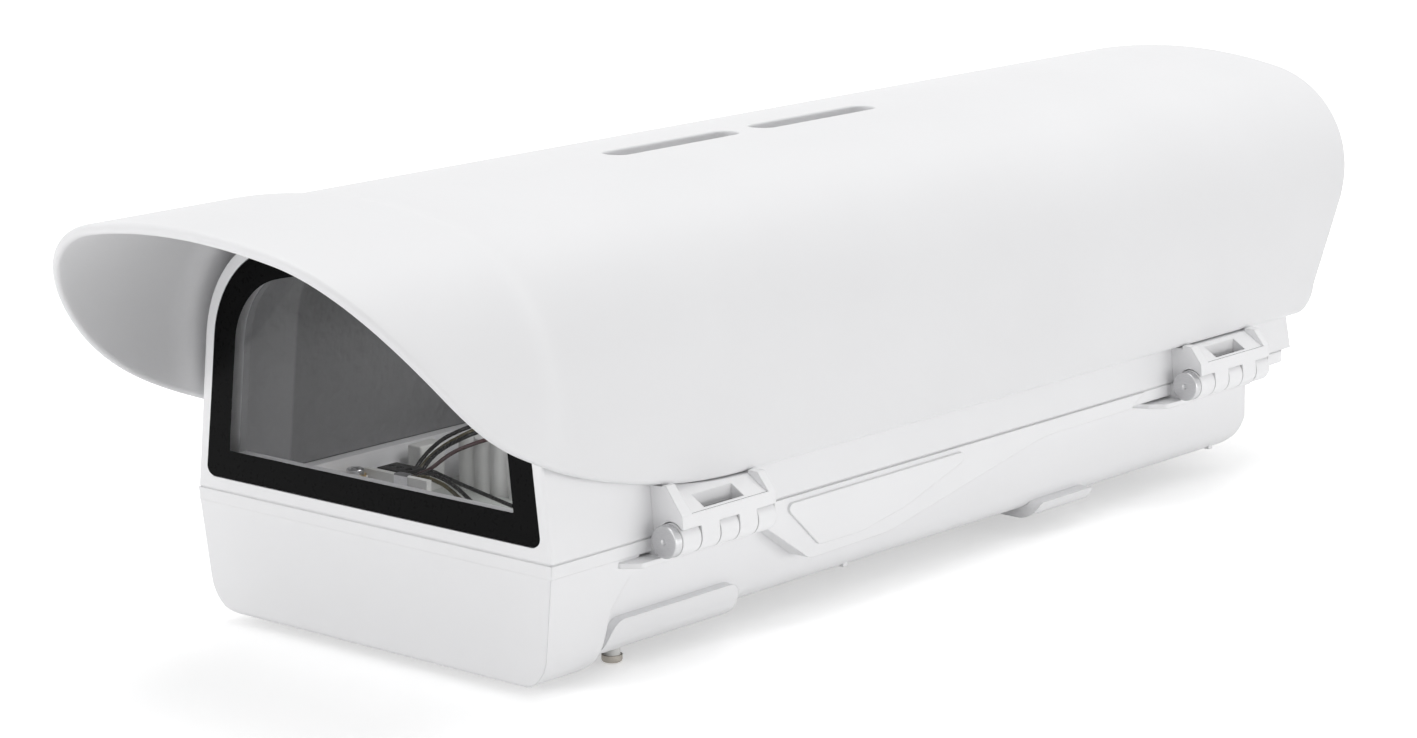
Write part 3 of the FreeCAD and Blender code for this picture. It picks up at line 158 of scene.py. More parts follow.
# Parting tongue
CASING_LENGTH = 348.7
TONGUE_CORNERS = (1.6, 7.0)
TONGUE_INSET = 0.3
TONGUE_WIDTH = 1.0
TONGUE_STEPS = 9
TONGUE_HEIGHTS = (-0.41, -0.08)

# Window
COVER_HALF = 67.5
COVER_DRAFT = math.radians(6.4)
COVER_TOP = 79.0
COVER_CROWN = 140.0
COVER_SHOULDER = 35.0
BORDER_OUTER = (3.85, 3.75, 2.6)
BORDER_INNER = (12.0, 11.8, 0.4)
BORDER_DEPTHS = (-0.03, 0.01)
GASKET_INNER = (6.6, 6.4, 1.2)
GASKET_DEPTHS = (4.02, 5.18)


class Nodes:
    """A material's node tree, with short calls for the nodes that are used here."""

    def __init__(self, name):
        self.material = bpy.data.materials.new(name)
        self.material.use_nodes = True
        self.tree = self.material.node_tree
        self.tree.nodes.clear()
        self.output = self.tree.nodes.new("ShaderNodeOutputMaterial")

    def add(self, kind, **settings):
        """A new node with its settings."""
        node = self.tree.nodes.new(kind)
        for key, value in settings.items():
            setattr(node, key, value)
        return node

    def link(self, source, target):
        """Join an output to an input."""
        self.tree.links.new(source, target)

    def coordinates(self, scale=(1, 1, 1)):
        """The piece's own coordinates, stretched along each axis."""
        source = self.add("ShaderNodeTexCoord")
        mapping = self.add("ShaderNodeMapping")
        mapping.inputs["Scale"].default_value = scale
        self.link(source.outputs["Object"], mapping.inputs["Vector"])
        return mapping.outputs["Vector"]

    def noise(self, vector, scale, detail=3.0, roughness=0.55):
        """A cloudy pattern from 0 to 1."""
        node = self.add("ShaderNodeTexNoise")
        node.inputs["Scale"].default_value = scale
        node.inputs["Detail"].default_value = detail
        node.inputs["Roughness"].default_value = roughness
        self.link(vector, node.inputs["Vector"])
        return node.outputs["Fac"]

    def ramp(self, value, stops):
        """A colour that runs through the stops as the value rises."""
        node = self.add("ShaderNodeValToRGB")
        elements = node.color_ramp.elements
        while len(elements) < len(stops):
            elements.new(0.5)
        for element, (place, colour) in zip(elements, stops):
            element.position = place
            element.color = (*colour, 1.0)
        self.link(value, node.inputs["Fac"])
        return node.outputs["Color"]

    def bump(self, height, distance, strength=None, normal=None):
        """A relief from a height, weighed by a strength and laid over another normal where given."""
        node = self.add("ShaderNodeBump")
        node.inputs["Distance"].default_value = distance
        self.link(height, node.inputs["Height"])
        if strength is not None:
            self.link(strength, node.inputs["Strength"])
        if normal is not None:
            self.link(normal, node.inputs["Normal"])
        return node.outputs["Normal"]

    def surface(self, shader):
        """Finish the material with a shader."""
        self.link(shader, self.output.inputs["Surface"])


def shade(colour, factor):
    """A colour made lighter or darker."""
    return tuple(min(1.0, c * factor) for c in colour)


def rays_that_see(tree):
    """One for rays from the camera, from a reflection and through the glass, otherwise nothing."""
    paths = tree.nodes.new("ShaderNodeLightPath")
    seen = paths.outputs["Is Camera Ray"]
    for kind in ("Is Glossy Ray", "Is Transmission Ray"):
        larger = tree.nodes.new("ShaderNodeMath")
        larger.operation = "MAXIMUM"
        tree.links.new(seen, larger.inputs[0])
        tree.links.new(paths.outputs[kind], larger.inputs[1])
        seen = larger.outputs["Value"]
    return seen


def lining_mask(m):
    """One on the cover's inner faces, where the surface looks towards the middle of the casing."""
    source = m.add("ShaderNodeTexCoord")
    flat = m.add("ShaderNodeVectorMath", operation="MULTIPLY")
    flat.inputs[1].default_value = (1, 0, 1)
    m.link(source.outputs["Object"], flat.inputs[0])
    away = m.add("ShaderNodeVectorMath", operation="SUBTRACT")
    away.inputs[1].default_value = (0, 0, LINING_CENTRE)
    m.link(flat.outputs["Vector"], away.inputs[0])
    facing = m.add("ShaderNodeVectorMath", operation="DOT_PRODUCT")
    m.link(away.outputs["Vector"], facing.inputs[0])
    m.link(source.outputs["Normal"], facing.inputs[1])
    inside = m.add("ShaderNodeMath", operation="LESS_THAN")
    inside.inputs[1].default_value = LINING_FACING
    m.link(facing.outputs["Value"], inside.inputs[0])
    return inside.outputs["Value"]


def lining_tint_with_painted_light(m):
    """The lining's grey, with painted light: a little paler in the flared front, standing in for the light
    that stretch catches.
    """
    source = m.add("ShaderNodeTexCoord")
    split = m.add("ShaderNodeSeparateXYZ")
    m.link(source.outputs["Object"], split.inputs["Vector"])
    place = m.add("ShaderNodeMapRange")
    place.inputs["From Min"].default_value = FLARE_END - FLARE_BLEND
    place.inputs["From Max"].default_value = FLARE_END + FLARE_BLEND
    m.link(split.outputs["Y"], place.inputs["Value"])
    return m.ramp(place.outputs["Result"], [(0.0, shade(LINING_GREY, FLARE_PAINTED_LIGHT)), (1.0, LINING_GREY)])


def moulded(name, colour, roughness=0.42, grain=700.0, depth=0.00002, cloud=0.012, specular=0.45,
            soft_edge=0.0, lined=False):
    """Moulded plastic: a fine spark-eroded grain, a faint cloudiness and an uneven satin gloss."""
    m = Nodes(name)
    vector = m.coordinates()
    bsdf = m.add("ShaderNodeBsdfPrincipled")
    bsdf.inputs["Specular IOR Level"].default_value = specular
    broad = m.noise(vector, 14.0, 2.0)
    tint = m.ramp(broad, [(0.3, shade(colour, 1 - cloud)), (0.7, shade(colour, 1 + cloud))])
    fine = m.noise(vector, grain, 3.0, 0.6)
    rough = m.ramp(fine, [(0.3, (roughness - GLOSS_SPREAD,) * 3), (0.7, (roughness + GLOSS_SPREAD,) * 3)])
    m.link(rough, bsdf.inputs["Roughness"])
    normal = None
    if soft_edge:
        edge = m.add("ShaderNodeBevel", samples=EDGE_SAMPLES)
        edge.inputs["Radius"].default_value = soft_edge
        normal = edge.outputs["Normal"]
    normal = m.bump(fine, depth, normal=normal)
    if lined:
        mask = lining_mask(m)
        mix = m.add("ShaderNodeMixRGB")
        m.link(mask, mix.inputs["Fac"])
        m.link(tint, mix.inputs["Color1"])
        # The lining's grey, with painted light making the flared front paler
        m.link(lining_tint_with_painted_light(m), mix.inputs["Color2"])
        tint = mix.outputs["Color"]
        normal = m.bump(m.noise(vector, LEATHER_GRAIN, 1.5, 0.4), LEATHER_DEPTH, mask, normal)
    m.link(tint, bsdf.inputs["Base Color"])
    m.link(normal, bsdf.inputs["Normal"])
    m.surface(bsdf.outputs["BSDF"])
    return m.material


def metal(name, colour, roughness, streak=(40.0, 40.0, 900.0), depth=0.00001):
    """Turned or rolled metal with fine directional streaks."""
    m = Nodes(name)
    vector = m.coordinates(streak)
    bsdf = m.add("ShaderNodeBsdfPrincipled")
    bsdf.inputs["Metallic"].default_value = 1.0
    lines = m.noise(vector, 12.0, 4.0)
    m.link(m.ramp(lines, [(0.25, shade(colour, 0.86)), (0.75, shade(colour, 1.1))]),
           bsdf.inputs["Base Color"])
    m.link(m.ramp(lines, [(0.25, (roughness * 0.8,) * 3), (0.75, (roughness * 1.25,) * 3)]),
           bsdf.inputs["Roughness"])
    m.link(m.bump(lines, depth), bsdf.inputs["Normal"])
    m.surface(bsdf.outputs["BSDF"])
    return m.material


def glass():
    """Clear flat glass with a faint grey tint and a trace of haze."""
    m = Nodes("window_glass")
    vector = m.coordinates()
    haze = m.noise(vector, 30.0, 4.0)
    clear = m.add("ShaderNodeBsdfTransparent")
    m.link(m.ramp(haze, [(0.3, GLASS_TINTS[0]), (0.7, GLASS_TINTS[1])]), clear.inputs["Color"])
    mirror = m.add("ShaderNodeBsdfGlossy")
    mirror.inputs["Roughness"].default_value = GLASS_HAZE
    fresnel = m.add("ShaderNodeFresnel")
    fresnel.inputs["IOR"].default_value = GLASS_IOR
    side = m.add("ShaderNodeNewGeometry")
    outside = m.add("ShaderNodeMath", operation="SUBTRACT")
    outside.inputs[0].default_value = 1.0
    m.link(side.outputs["Backfacing"], outside.inputs[1])
    amount = m.add("ShaderNodeMath", operation="MULTIPLY")
    m.link(fresnel.outputs["Fac"], amount.inputs[0])
    m.link(outside.outputs["Value"], amount.inputs[1])
    mix = m.add("ShaderNodeMixShader")
    m.link(amount.outputs["Value"], mix.inputs["Fac"])
    m.link(clear.outputs["BSDF"], mix.inputs[1])
    m.link(mirror.outputs["BSDF"], mix.inputs[2])
    m.surface(mix.outputs["Shader"])
    return m.material


def white_stage(name, glow):
    """A pale backdrop: it takes the object's shadow, and shows white to the camera."""
    m = Nodes(name)
    vector = m.coordinates()
    diffuse = m.add("ShaderNodeBsdfDiffuse")
    m.link(m.ramp(m.noise(vector, 3.0), [(0.3, STAGE_GREYS[0]), (0.7, STAGE_GREYS[1])]),
           diffuse.inputs["Color"])
    strength = m.add("ShaderNodeMath", operation="MULTIPLY")
    strength.inputs[1].default_value = glow
    m.link(rays_that_see(m.tree), strength.inputs[0])
    emission = m.add("ShaderNodeEmission")
    m.link(strength.outputs["Value"], emission.inputs["Strength"])
    both = m.add("ShaderNodeAddShader")
    m.link(diffuse.outputs["BSDF"], both.inputs[0])
    m.link(emission.outputs["Emission"], both.inputs[1])
    m.surface(both.outputs["Shader"])
    return m.material


def in_frame(points):
    """Move points from the casing's own measures, in millimetres, into the part's frame, in metres."""
    return (points + np.array((0.0, DEPTH_SHIFT, HEIGHT_SHIFT))) * MM


def surface_piece(name, points, quads, material, smooth=True):
    """One closed mesh from points and four-sided faces.

    Points that fall together are joined, and a face keeps each different corner once. The sum of the
    volumes between the origin and the faces is below nothing where they point inwards, and then they are
    turned round.
    """
    _, first, same = np.unique(np.round(points, 5), axis=0, return_index=True, return_inverse=True)
    points = points[first]
    quads = same.reshape(-1)[quads]
    fresh = quads != np.roll(quads, 1, axis=1)
    solid = fresh.sum(1) > 2
    quads, fresh = quads[solid], fresh[solid]
    a, b, c, d = (points[quads[:, corner]] for corner in range(4))
    volume = (a * (np.cross(b, c) + np.cross(c, d))).sum()
    if volume < 0:
        quads, fresh = quads[:, ::-1], fresh[:, ::-1]
    loops = [ring.tolist() for ring in np.split(quads[fresh], np.cumsum(fresh.sum(1))[:-1])]
    mesh = bpy.data.meshes.new(name)
    mesh.from_pydata(in_frame(points).tolist(), [], loops)
    mesh.polygons.foreach_set("use_smooth", np.full(len(loops), smooth))
    mesh.update()
    mesh.materials.append(material)
    obj = bpy.data.objects.new(name, mesh)
    bpy.context.scene.collection.objects.link(obj)
    return obj


def grid_faces(rows, columns, closed=False, base=0):
    """Four-sided faces between the rows of a grid; a closed grid's last row meets its first."""
    r = np.arange(rows if closed else rows - 1)
    c = np.arange(columns - 1)
    r, c = np.meshgrid(r, c, indexing="ij")
    nxt = (r + 1) % rows
    faces = np.stack([r * columns + c, r * columns + c + 1, nxt * columns + c + 1, nxt * columns + c], -1)
    return faces + base


def lip_depth(z):
    """Depth of the sunshield's swept front edge at each height: three arcs, each tangent to the last."""
    y0 = LIP_START
    z0 = HOOD_SKIRT
    angle = 0.0
    depth = np.full(z.shape, LIP_START)
    for radius, turn in LIP_ARCS:
        cosine = np.clip(math.cos(angle) - (z - z0) / radius, -1, 1)
        here = y0 - radius * (np.sqrt(1 - cosine * cosine) - math.sin(angle))
        depth = np.where(z > z0, here, depth)
        last = angle + math.radians(turn)
        y0 -= radius * (math.sin(last) - math.sin(angle))
        z0 += radius * (math.cos(angle) - math.cos(last))
        angle = last
    return depth


def arc_points(a, b, c, count):
    """Points on the circle through three points, from the first to the last."""
    a, b, c = (complex(*p) for p in (a, b, c))
    w = (c - a) / (b - a)
    centre = a + (b - a) * (w - abs(w) ** 2) / (2j * w.imag)
    start = np.angle(a - centre)
    turn = np.angle((c - centre) / (a - centre))
    path = centre + abs(a - centre) * np.exp(1j * (start + turn * np.linspace(0, 1, count)))
    return np.stack([path.real, path.imag], -1)


def tail_depth(z):
    """Depth of the sunshield's raked rear edge at each height: an arc, a straight run and a longer arc."""
    path = np.concatenate([arc_points(*TAIL_LOW_ARC, 40), arc_points(*TAIL_HIGH_ARC, 60)])
    return np.interp(z, path[:, 1], path[:, 0])


def visor_grow(y):
    """How far the visor stands out over the main length: a smooth step along the depth."""
    return VISOR_STEP * 0.5 * (1 - np.tanh((y - VISOR_MIDDLE) / VISOR_SOFTNESS))


def arch_stations():
    """The sunshield's section from one skirt over the crown to the other.

    It is an upright side with a round rim, a shoulder arc and a flatter crown arc, each tangent to the
    last, mirrored about the middle. It gives x, z, the normal's x and z, and the path length.
    """
    lean = math.asin((HOOD_HALF - HOOD_SHOULDER) / (HOOD_CROWN - HOOD_SHOULDER))
    bend_x = HOOD_HALF - HOOD_SHOULDER
    centre_z = HOOD_TOP - HOOD_CROWN
    bend_z = centre_z + (HOOD_CROWN - HOOD_SHOULDER) * math.cos(lean)
    radius = HOOD_WALL / 2
    rim = radius * (1 - np.cos(np.linspace(0, math.pi / 2, 9)))
    wall = radius + (bend_z - HOOD_SKIRT - radius) * np.linspace(0, 1, 17)[1:]
    skirt = HOOD_SKIRT + np.concatenate([rim, wall])
    turns = np.linspace(0, math.pi / 2 - lean, 28)[1:]
    flats = np.concatenate([np.linspace(HOOD_CROWN * math.sin(lean), PATCH_X, 12)[1:],
                            np.linspace(PATCH_X, 0, 9)[1:]])
    tilt = np.arcsin(flats / HOOD_CROWN)
    x = np.concatenate([np.full(skirt.shape, HOOD_HALF), bend_x + HOOD_SHOULDER * np.cos(turns), flats])
    z = np.concatenate([skirt, bend_z + HOOD_SHOULDER * np.sin(turns), centre_z + HOOD_CROWN * np.cos(tilt)])
    nx = np.concatenate([np.ones(skirt.shape), np.cos(turns), np.sin(tilt)])
    nz = np.concatenate([np.zeros(skirt.shape), np.sin(turns), np.cos(tilt)])
    path = np.concatenate([[0], np.cumsum(np.hypot(np.diff(x), np.diff(z)))])
    mirror = slice(-2, None, -1)
    return (np.concatenate([x, -x[mirror]]), np.concatenate([z, z[mirror]]),
            np.concatenate([nx, -nx[mirror]]), np.concatenate([nz, nz[mirror]]),
            np.concatenate([path, path[mirror]]))


def edge_distance(path, y, border):
    """Shortest distance of each point, on the sheet laid flat, from the sheet's border."""
    flat = np.stack([path.ravel(), y.ravel()], -1)
    a = border[:-1]
    run = border[1:] - a
    length = (run * run).sum(-1)
    result = np.empty(len(flat))
    for low in range(0, len(flat), DISTANCE_BATCH):
        p = flat[low:low + DISTANCE_BATCH, None, :] - a[None]
        along = np.clip((p * run).sum(-1) / length, 0, 1)
        rest = p - along[..., None] * run
        result[low:low + DISTANCE_BATCH] = np.sqrt((rest * rest).sum(-1).min(-1))
    return result.reshape(y.shape)


def trough_patch(loop_out, loop_in, centre):
    """One trough: a profile carried round the slot, from the sheet's outer loop to its inner loop.

    The profile runs over the crown, the rounded edge, the wall, the floor, down the slot, round the boss and
    out along the underside. Each ring is the slot's middle line grown by a radius.
    """
    count_x = int(2 * PATCH_X)
    count_y = (len(loop_out) - 2 * count_x) // 2
    cap = np.pi * np.arange(count_x) / count_x
    side = TROUGH_HALF * (2 * np.arange(count_y) / count_y - 1)
    zero = np.zeros(count_y)
    heart = np.concatenate([
        np.stack([0 * cap, 0 * cap - TROUGH_HALF], -1), np.stack([zero, side], -1),
        np.stack([0 * cap, 0 * cap + TROUGH_HALF], -1), np.stack([zero, -side], -1)])
    way = np.concatenate([
        np.stack([-np.cos(cap), -np.sin(cap)], -1), np.stack([zero + 1, zero], -1),
        np.stack([np.cos(cap), np.sin(cap)], -1), np.stack([zero - 1, zero], -1)])
    heart[:, 1] += centre

    def ring(radius):
        """The middle line grown by a radius."""
        return heart + radius * way

    def crown(flat, drop):
        """Points in plan lifted to the crown arc, or to one that much lower."""
        height = HOOD_TOP - HOOD_CROWN + np.sqrt((HOOD_CROWN - drop) ** 2 - flat[:, 0] ** 2)
        return np.column_stack([flat, height])

    def level(radius, z):
        """A ring at one height."""
        return np.column_stack([ring(radius), np.full(len(heart), z)])

    soft = TROUGH_SOFTNESS
    rings = []
    for share in (0, 0.35, 0.7):
        rings.append(crown(loop_out[:, :2] * (1 - share) + ring(TROUGH_RADIUS + soft) * share, 0))
    for turn in np.linspace(0, math.pi / 2, 7):
        edge = crown(ring(TROUGH_RADIUS + soft * (1 - math.sin(turn))), 0)
        edge[:, 2] -= soft * (1 - math.cos(turn))
        rings.append(edge)
    for radius, z in TROUGH_PROFILE:
        rings.append(level(radius, TROUGH_FLOOR + z))
    for radius, z in BOSS_PROFILE:
        rings.append(level(radius, BOSS_BOTTOM + z))
    for share in (0.0, 0.4, 1.0):
        rings.append(crown(loop_in[:, :2] * share + ring(BOSS_RADIUS + 0.05) * (1 - share), HOOD_WALL))
    rings[0] = loop_out
    rings[-1] = loop_in
    return np.stack(rings, 1)


def sunshield_surface():
    """The sunshield: an arch carried along the depth between the swept lip and the raked tail.

    One parameter runs over the arch, the other from the lip to the tail. The sheet's half thickness falls to
    nothing along the border like half a circle, so the rim is round. The visor grows by a smooth step.
    """
    x, z, nx, nz, path = arch_stations()
    radius = HOOD_WALL / 2
    middle_z = z + (VISOR_STEP - radius) * nz
    front = lip_depth(middle_z)
    back = tail_depth(z - radius * nz)
    share = 1 - np.cos(np.linspace(0, math.pi / 2, 9))
    slope = np.abs(nz) + (middle_z - HOOD_SKIRT) / LIP_STRIP_RISE
    steep = np.clip(LIP_STRIP / np.maximum(slope, LIP_STRIP_LEAST), *LIP_STRIP_RANGE)
    patches = [(c - TROUGH_HALF - TROUGH_RADIUS - PATCH_MARGIN,
                c + TROUGH_HALF + TROUGH_RADIUS + PATCH_MARGIN) for c in TROUGH_CENTRES]
    lines = []
    lines += [front + steep * s for s in share]
    gap = patches[0][0] - front - steep
    lines += [front + steep + gap * s for s in np.linspace(0, 1, LIP_ROWS)[1:]]
    marks = [len(lines) - 1]
    for low, high, count in ((*patches[0], TROUGH_ROWS), (patches[0][1], patches[1][0], BETWEEN_ROWS),
                             (*patches[1], TROUGH_ROWS)):
        lines += [np.full(x.shape, low + (high - low) * s) for s in np.linspace(0, 1, count + 1)[1:]]
        marks.append(len(lines) - 1)
    gap = back - TAIL_STRIP - patches[1][1]
    lines += [patches[1][1] + gap * s for s in np.linspace(0, 1, TAIL_ROWS)[1:]]
    lines += [back - TAIL_STRIP * (1 - s) for s in 1 - share[::-1]][1:]
    y = np.stack(lines, 1)
    rows, columns = y.shape
    half = (rows + 1) // 2
    fine = np.linspace(0, half - 1, BORDER_SAMPLES)
    index = np.arange(half)
    along = np.interp(fine, index, path[:half])
    height = np.interp(along, path[:half], middle_z[:half])
    front_line = np.stack([along, np.interp(fine, index, front[:half])], -1)
    low_part = height < SWEPT_BELOW
    front_line[low_part, 1] = lip_depth(height[low_part])
    back_line = np.stack([path[:half], back[:half]], -1)
    border = np.concatenate([front_line[::-1], back_line])
    distance = edge_distance(np.repeat(path[:half, None], columns, 1), y[:half], border)
    distance[:, 0] = 0
    distance[:, -1] = 0
    distance[0] = 0
    distance = np.concatenate([distance, distance[-2::-1]])
    near = np.clip(distance, 0, radius)
    thick = np.sqrt(np.maximum(radius ** 2 - (radius - near) ** 2, 0))
    grow = visor_grow(y) - radius
    sheets = []
    for side in (1, -1):
        reach = grow + side * thick
        sheets.append(np.stack([x[:, None] + reach * nx[:, None], y, z[:, None] + reach * nz[:, None]], -1))
    middle = rows // 2
    span = int(PATCH_X)
    left, right = middle - span, middle + span
    faces = grid_faces(rows, columns)
    keep = np.ones(faces.shape[:2], bool)
    holes = [(marks[0], marks[1]), (marks[2], marks[3])]
    for low, high in holes:
        keep[left:right, low:high] = False
    kept = faces[keep]
    points = [sheets[0].reshape(-1, 3), sheets[1].reshape(-1, 3)]
    quads = [kept, kept[:, ::-1] + rows * columns]
    total = 2 * rows * columns
    for (low, high), centre in zip(holes, TROUGH_CENTRES):
        loops = []
        for sheet in sheets:
            loops.append(np.concatenate([
                sheet[right:left:-1, low], sheet[left, low:high], sheet[left:right, high],
                sheet[right, high:low:-1]]))
        patch = trough_patch(loops[0], loops[1], centre)
        count, width = patch.shape[:2]
        points.append(patch.reshape(-1, 3))
        quads.append(grid_faces(count, width, True, total).reshape(-1, 4)[:, ::-1])
        total += count * width
    return np.concatenate(points), np.concatenate(quads)


def window_outline(inset, sill, corner):
    """The window's outline at an inset: level sill, leaning sides, shoulder arcs and crown arc."""
    lean = COVER_DRAFT
    reach = COVER_HALF * math.cos(lean) - COVER_SHOULDER
    crown_z = COVER_TOP - COVER_CROWN
    offset = reach - crown_z * math.sin(lean)
    rise = math.sqrt((COVER_CROWN - COVER_SHOULDER) ** 2 - offset ** 2)
    bend = (offset * math.cos(lean) - rise * math.sin(lean),
            crown_z + offset * math.sin(lean) + rise * math.cos(lean))
    tip = math.atan2(bend[0], bend[1] - crown_z)
    foot = (COVER_HALF * math.cos(lean) - inset - sill * math.sin(lean)) / math.cos(lean)
    half_angle = (math.pi / 2 + lean) / 2
    cut = corner / math.tan(half_angle)
    shoulder = COVER_SHOULDER - inset
    crown = COVER_CROWN - inset
    start = (foot - cut, sill)
    centre = (start[0], sill + corner)
    turns = np.linspace(-math.pi / 2, lean, 9)
    points = [np.column_stack([np.linspace(0, start[0], 12)[:-1], np.full(11, sill)])]
    points.append(np.column_stack([centre[0] + corner * np.cos(turns), centre[1] + corner * np.sin(turns)]))
    side_low = points[-1][-1]
    side_high = np.array([bend[0] + shoulder * math.cos(lean), bend[1] + shoulder * math.sin(lean)])
    points.append(side_low + (side_high - side_low) * np.linspace(0, 1, 10)[1:, None])
    turns = np.linspace(lean, math.pi / 2 - tip, 26)[1:]
    points.append(np.column_stack([bend[0] + shoulder * np.cos(turns), bend[1] + shoulder * np.sin(turns)]))
    turns = np.linspace(tip, 0, 14)[1:]
    points.append(np.column_stack([crown * np.sin(turns), crown_z + crown * np.cos(turns)]))
    right = np.concatenate(points)
    left = right[-2:0:-1] * (-1, 1)
    return np.concatenate([right, left])


def band_surface(outer, inner, depths):
    """A flat closed band between two window outlines, from one depth to another."""
    outer = window_outline(*outer)
    inner = window_outline(*inner)
    stations = []
    for share, y in ((0, depths[1]), (0, depths[0]), (1, depths[0]), (1, depths[1])):
        flat = outer * (1 - share) + inner * share
        stations.append(np.column_stack([flat[:, 0], np.full(len(flat), y), flat[:, 1]]))
    stations.append(stations[0])
    ring = np.stack(stations, 1)
    return ring.reshape(-1, 3), grid_faces(len(outer), len(stations), True).reshape(-1, 4)


def tongue_surface():
    """A low tongue in the parting gap: an oblong section carried round the casing's plan outline.

    The outline has a quarter circle at each corner, and a section point stands inside it by its inset.
    """
    front, back = TONGUE_CORNERS
    corners = ((COVER_HALF, CASING_LENGTH, back, 0), (-COVER_HALF, CASING_LENGTH, back, 90),
               (-COVER_HALF, 0, front, 180), (COVER_HALF, 0, front, 270))
    loop = []
    for cx, cy, radius, start in corners:
        turns = np.radians(start + np.linspace(0, 90, TONGUE_STEPS))
        sx, sy = np.sign(cx), (1 if cy > 1 else -1)
        centre = (cx - sx * radius, cy - sy * radius)
        same = np.ones(TONGUE_STEPS)
        loop.append(np.column_stack([centre[0] * same, centre[1] * same,
                                     np.cos(turns), np.sin(turns), radius * same]))
    loop = np.concatenate(loop)
    low, high = TONGUE_HEIGHTS
    inner = TONGUE_INSET + TONGUE_WIDTH
    stations = []
    for inset, z in ((TONGUE_INSET, low), (TONGUE_INSET, high), (inner, high), (inner, low)):
        reach = loop[:, 4] - inset
        stations.append(np.column_stack([loop[:, 0] + reach * loop[:, 2], loop[:, 1] + reach * loop[:, 3],
                                         np.full(len(loop), z)]))
    stations.append(stations[0])
    ring = np.stack(stations, 1)
    return ring.reshape(-1, 3), grid_faces(len(loop), len(stations), True).reshape(-1, 4)


def dress(name, material):
    """Give a carried node one material."""
    slots = nodes[name].data.materials
    slots.clear()
    slots.append(material)


def materials():
    """Every material, by the record's slot."""
    return {
        "lower_casing": moulded("shell_lower", SHELL_WHITE, soft_edge=EDGE_SOFTNESS),
        "upper_casing": moulded("shell_upper", SHELL_WHITE, soft_edge=EDGE_SOFTNESS, lined=True),
        "sunshield": moulded("shell_hood", HOOD_WHITE, 0.5, 520.0, 0.00003),
        "window": glass(),
        "window_gasket": moulded("border_black", (0.003, 0.003, 0.0032), 0.3, 900.0, 0.0000002,
                                 specular=0.04),
        "hinge_pin": metal("pin_metal", (0.56, 0.56, 0.57), 0.32),
        "screw_steel": metal("screw_metal", (0.6, 0.6, 0.61), 0.3),
        "foot_metal": metal("foot_metal", (0.42, 0.39, 0.35), 0.3),
        "rubber_black": moulded("rubber_black", (0.02, 0.02, 0.02), 0.7, 500.0, 0.00003),
        "lid_seal": moulded("seal_black", (0.02, 0.02, 0.02), 0.7, 500.0, 0.00003),
        "brass": metal("brass", (0.7, 0.52, 0.26), 0.35),
        "pale_plastic": moulded("pale_plastic", (0.78, 0.78, 0.76), 0.45),
        "tray_metal": metal("tray_metal", (0.7, 0.7, 0.71), 0.4, (60.0, 900.0, 60.0)),
        "board": moulded("board_pale", (0.5, 0.52, 0.5), 0.4),
        "clip_metal": metal("clip_bright", (0.85, 0.85, 0.86), 0.16),
        "black_plastic": moulded("black_plastic", (0.008, 0.008, 0.008), 0.5, specular=0.2),
        "module_plastic": moulded("module_plastic", (0.76, 0.76, 0.75), 0.4),
        "wire_black": moulded("wire_black", (0.005, 0.005, 0.005), 0.28, 900.0, 0.000002),
        "wire_olive": moulded("wire_olive", (0.075, 0.065, 0.028), 0.3, 900.0, 0.000002),
        "wire_brown": moulded("wire_brown", (0.065, 0.03, 0.032), 0.3, 900.0, 0.000002),
        "gland_plastic": moulded("gland_grey", (0.2, 0.2, 0.205), 0.45),
    }


def dress_all():
    """Give each carried node the finish of its slot."""
    finishes = materials()
    for entry in frame["record"]["subparts"]:
        dress(entry["node"], finishes[entry["material_slot"]])
    return finishes


def add_surfaces(finishes):
    """The pieces made here as surfaces."""
    hood = surface_piece("sunshield_surface", *sunshield_surface(), finishes["sunshield"])
    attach(hood, "sunshield")
    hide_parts("sunshield")
    border = surface_piece("window_border", *band_surface(BORDER_OUTER, BORDER_INNER, BORDER_DEPTHS),
                           finishes["window_gasket"], False)
    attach(border, "cover")
    gasket = surface_piece("window_gasket_band", *band_surface(BORDER_OUTER, GASKET_INNER, GASKET_DEPTHS),
                           finishes["rubber_black"], False)
    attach(gasket, "cover")
    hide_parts("window_gasket")
    tongue = surface_piece("parting_tongue", *tongue_surface(), finishes["lower_casing"], False)
    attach(tongue, "base")


def plane(name, corners, material):
    """A flat stage piece."""
    mesh = bpy.data.meshes.new(name)
    mesh.from_pydata(corners, [], [(0, 1, 2, 3)])
    mesh.materials.append(material)
    obj = bpy.data.objects.new(name, mesh)
    bpy.context.scene.collection.objects.link(obj)


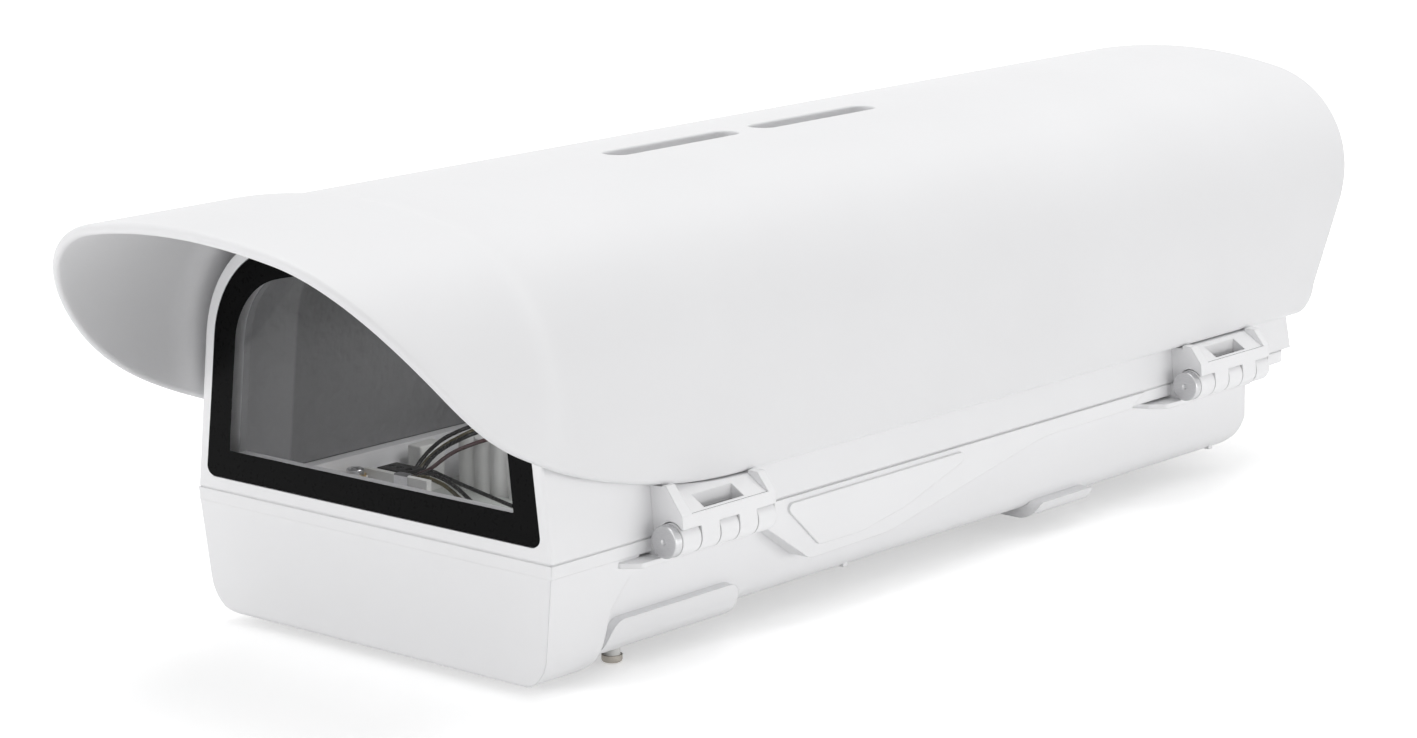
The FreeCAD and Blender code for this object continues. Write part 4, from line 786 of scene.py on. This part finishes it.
def place_camera():
    """The camera at the photograph's viewpoint."""
    eye = Vector(CAMERA_EYE) * MM
    target = Vector(CAMERA_TARGET) * MM
    back = (eye - target).normalized()
    right = Vector((0, 0, 1)).cross(back).normalized()
    up = back.cross(right)
    roll = math.radians(CAMERA_ROLL)
    turned_right = right * math.cos(roll) + up * math.sin(roll)
    turned_up = up * math.cos(roll) - right * math.sin(roll)
    data = bpy.data.cameras.new("camera")
    data.lens = CAMERA_LENS
    data.sensor_width = SENSOR_WIDTH
    data.sensor_fit = "HORIZONTAL"
    data.clip_start, data.clip_end = CLIP_RANGE
    camera = bpy.data.objects.new("camera", data)
    rotation = Matrix((turned_right, turned_up, back)).transposed().to_4x4()
    camera.matrix_world = Matrix.Translation(eye) @ rotation
    bpy.context.scene.collection.objects.link(camera)
    bpy.context.scene.camera = camera


def area_light(name, place, aim, width, height, power):
    """A soft rectangular lamp that looks at a point."""
    data = bpy.data.lights.new(name, "AREA")
    data.shape = "RECTANGLE"
    data.size = width
    data.size_y = height
    data.energy = power
    lamp = bpy.data.objects.new(name, data)
    lamp.visible_camera = False
    direction = Vector(aim) - Vector(place)
    lamp.rotation_euler = direction.to_track_quat("-Z", "Y").to_euler()
    lamp.location = place
    bpy.context.scene.collection.objects.link(lamp)


def light_world(level):
    """Even pale light all round, shown as white to the camera."""
    world = bpy.data.worlds.new("studio")
    world.use_nodes = True
    bpy.context.scene.world = world
    tree = world.node_tree
    tree.nodes.clear()
    output = tree.nodes.new("ShaderNodeOutputWorld")
    strength = tree.nodes.new("ShaderNodeMapRange")
    strength.inputs["To Min"].default_value = level
    strength.inputs["To Max"].default_value = 1.0
    background = tree.nodes.new("ShaderNodeBackground")
    background.inputs["Color"].default_value = (1, 1, 1, 1)
    tree.links.new(rays_that_see(tree), strength.inputs["Value"])
    tree.links.new(strength.outputs["Result"], background.inputs["Strength"])
    tree.links.new(background.outputs["Background"], output.inputs["Surface"])


def stage_and_light():
    """Floor, world and lamps."""
    low = cad_box[0][2] - FLOOR_GAP
    size = FLOOR_REACH
    corners = [(-size, -size, low), (size, -size, low), (size, size, low), (-size, size, low)]
    plane("floor", corners, white_stage("floor_white", FLOOR_GLOW))
    light_world(WORLD_LEVEL)
    for lamp in LAMPS:
        area_light(*lamp)


bpy.context.scene.view_settings.view_transform = "Standard"
place_camera()
finishes = dress_all()
add_surfaces(finishes)
stage_and_light()
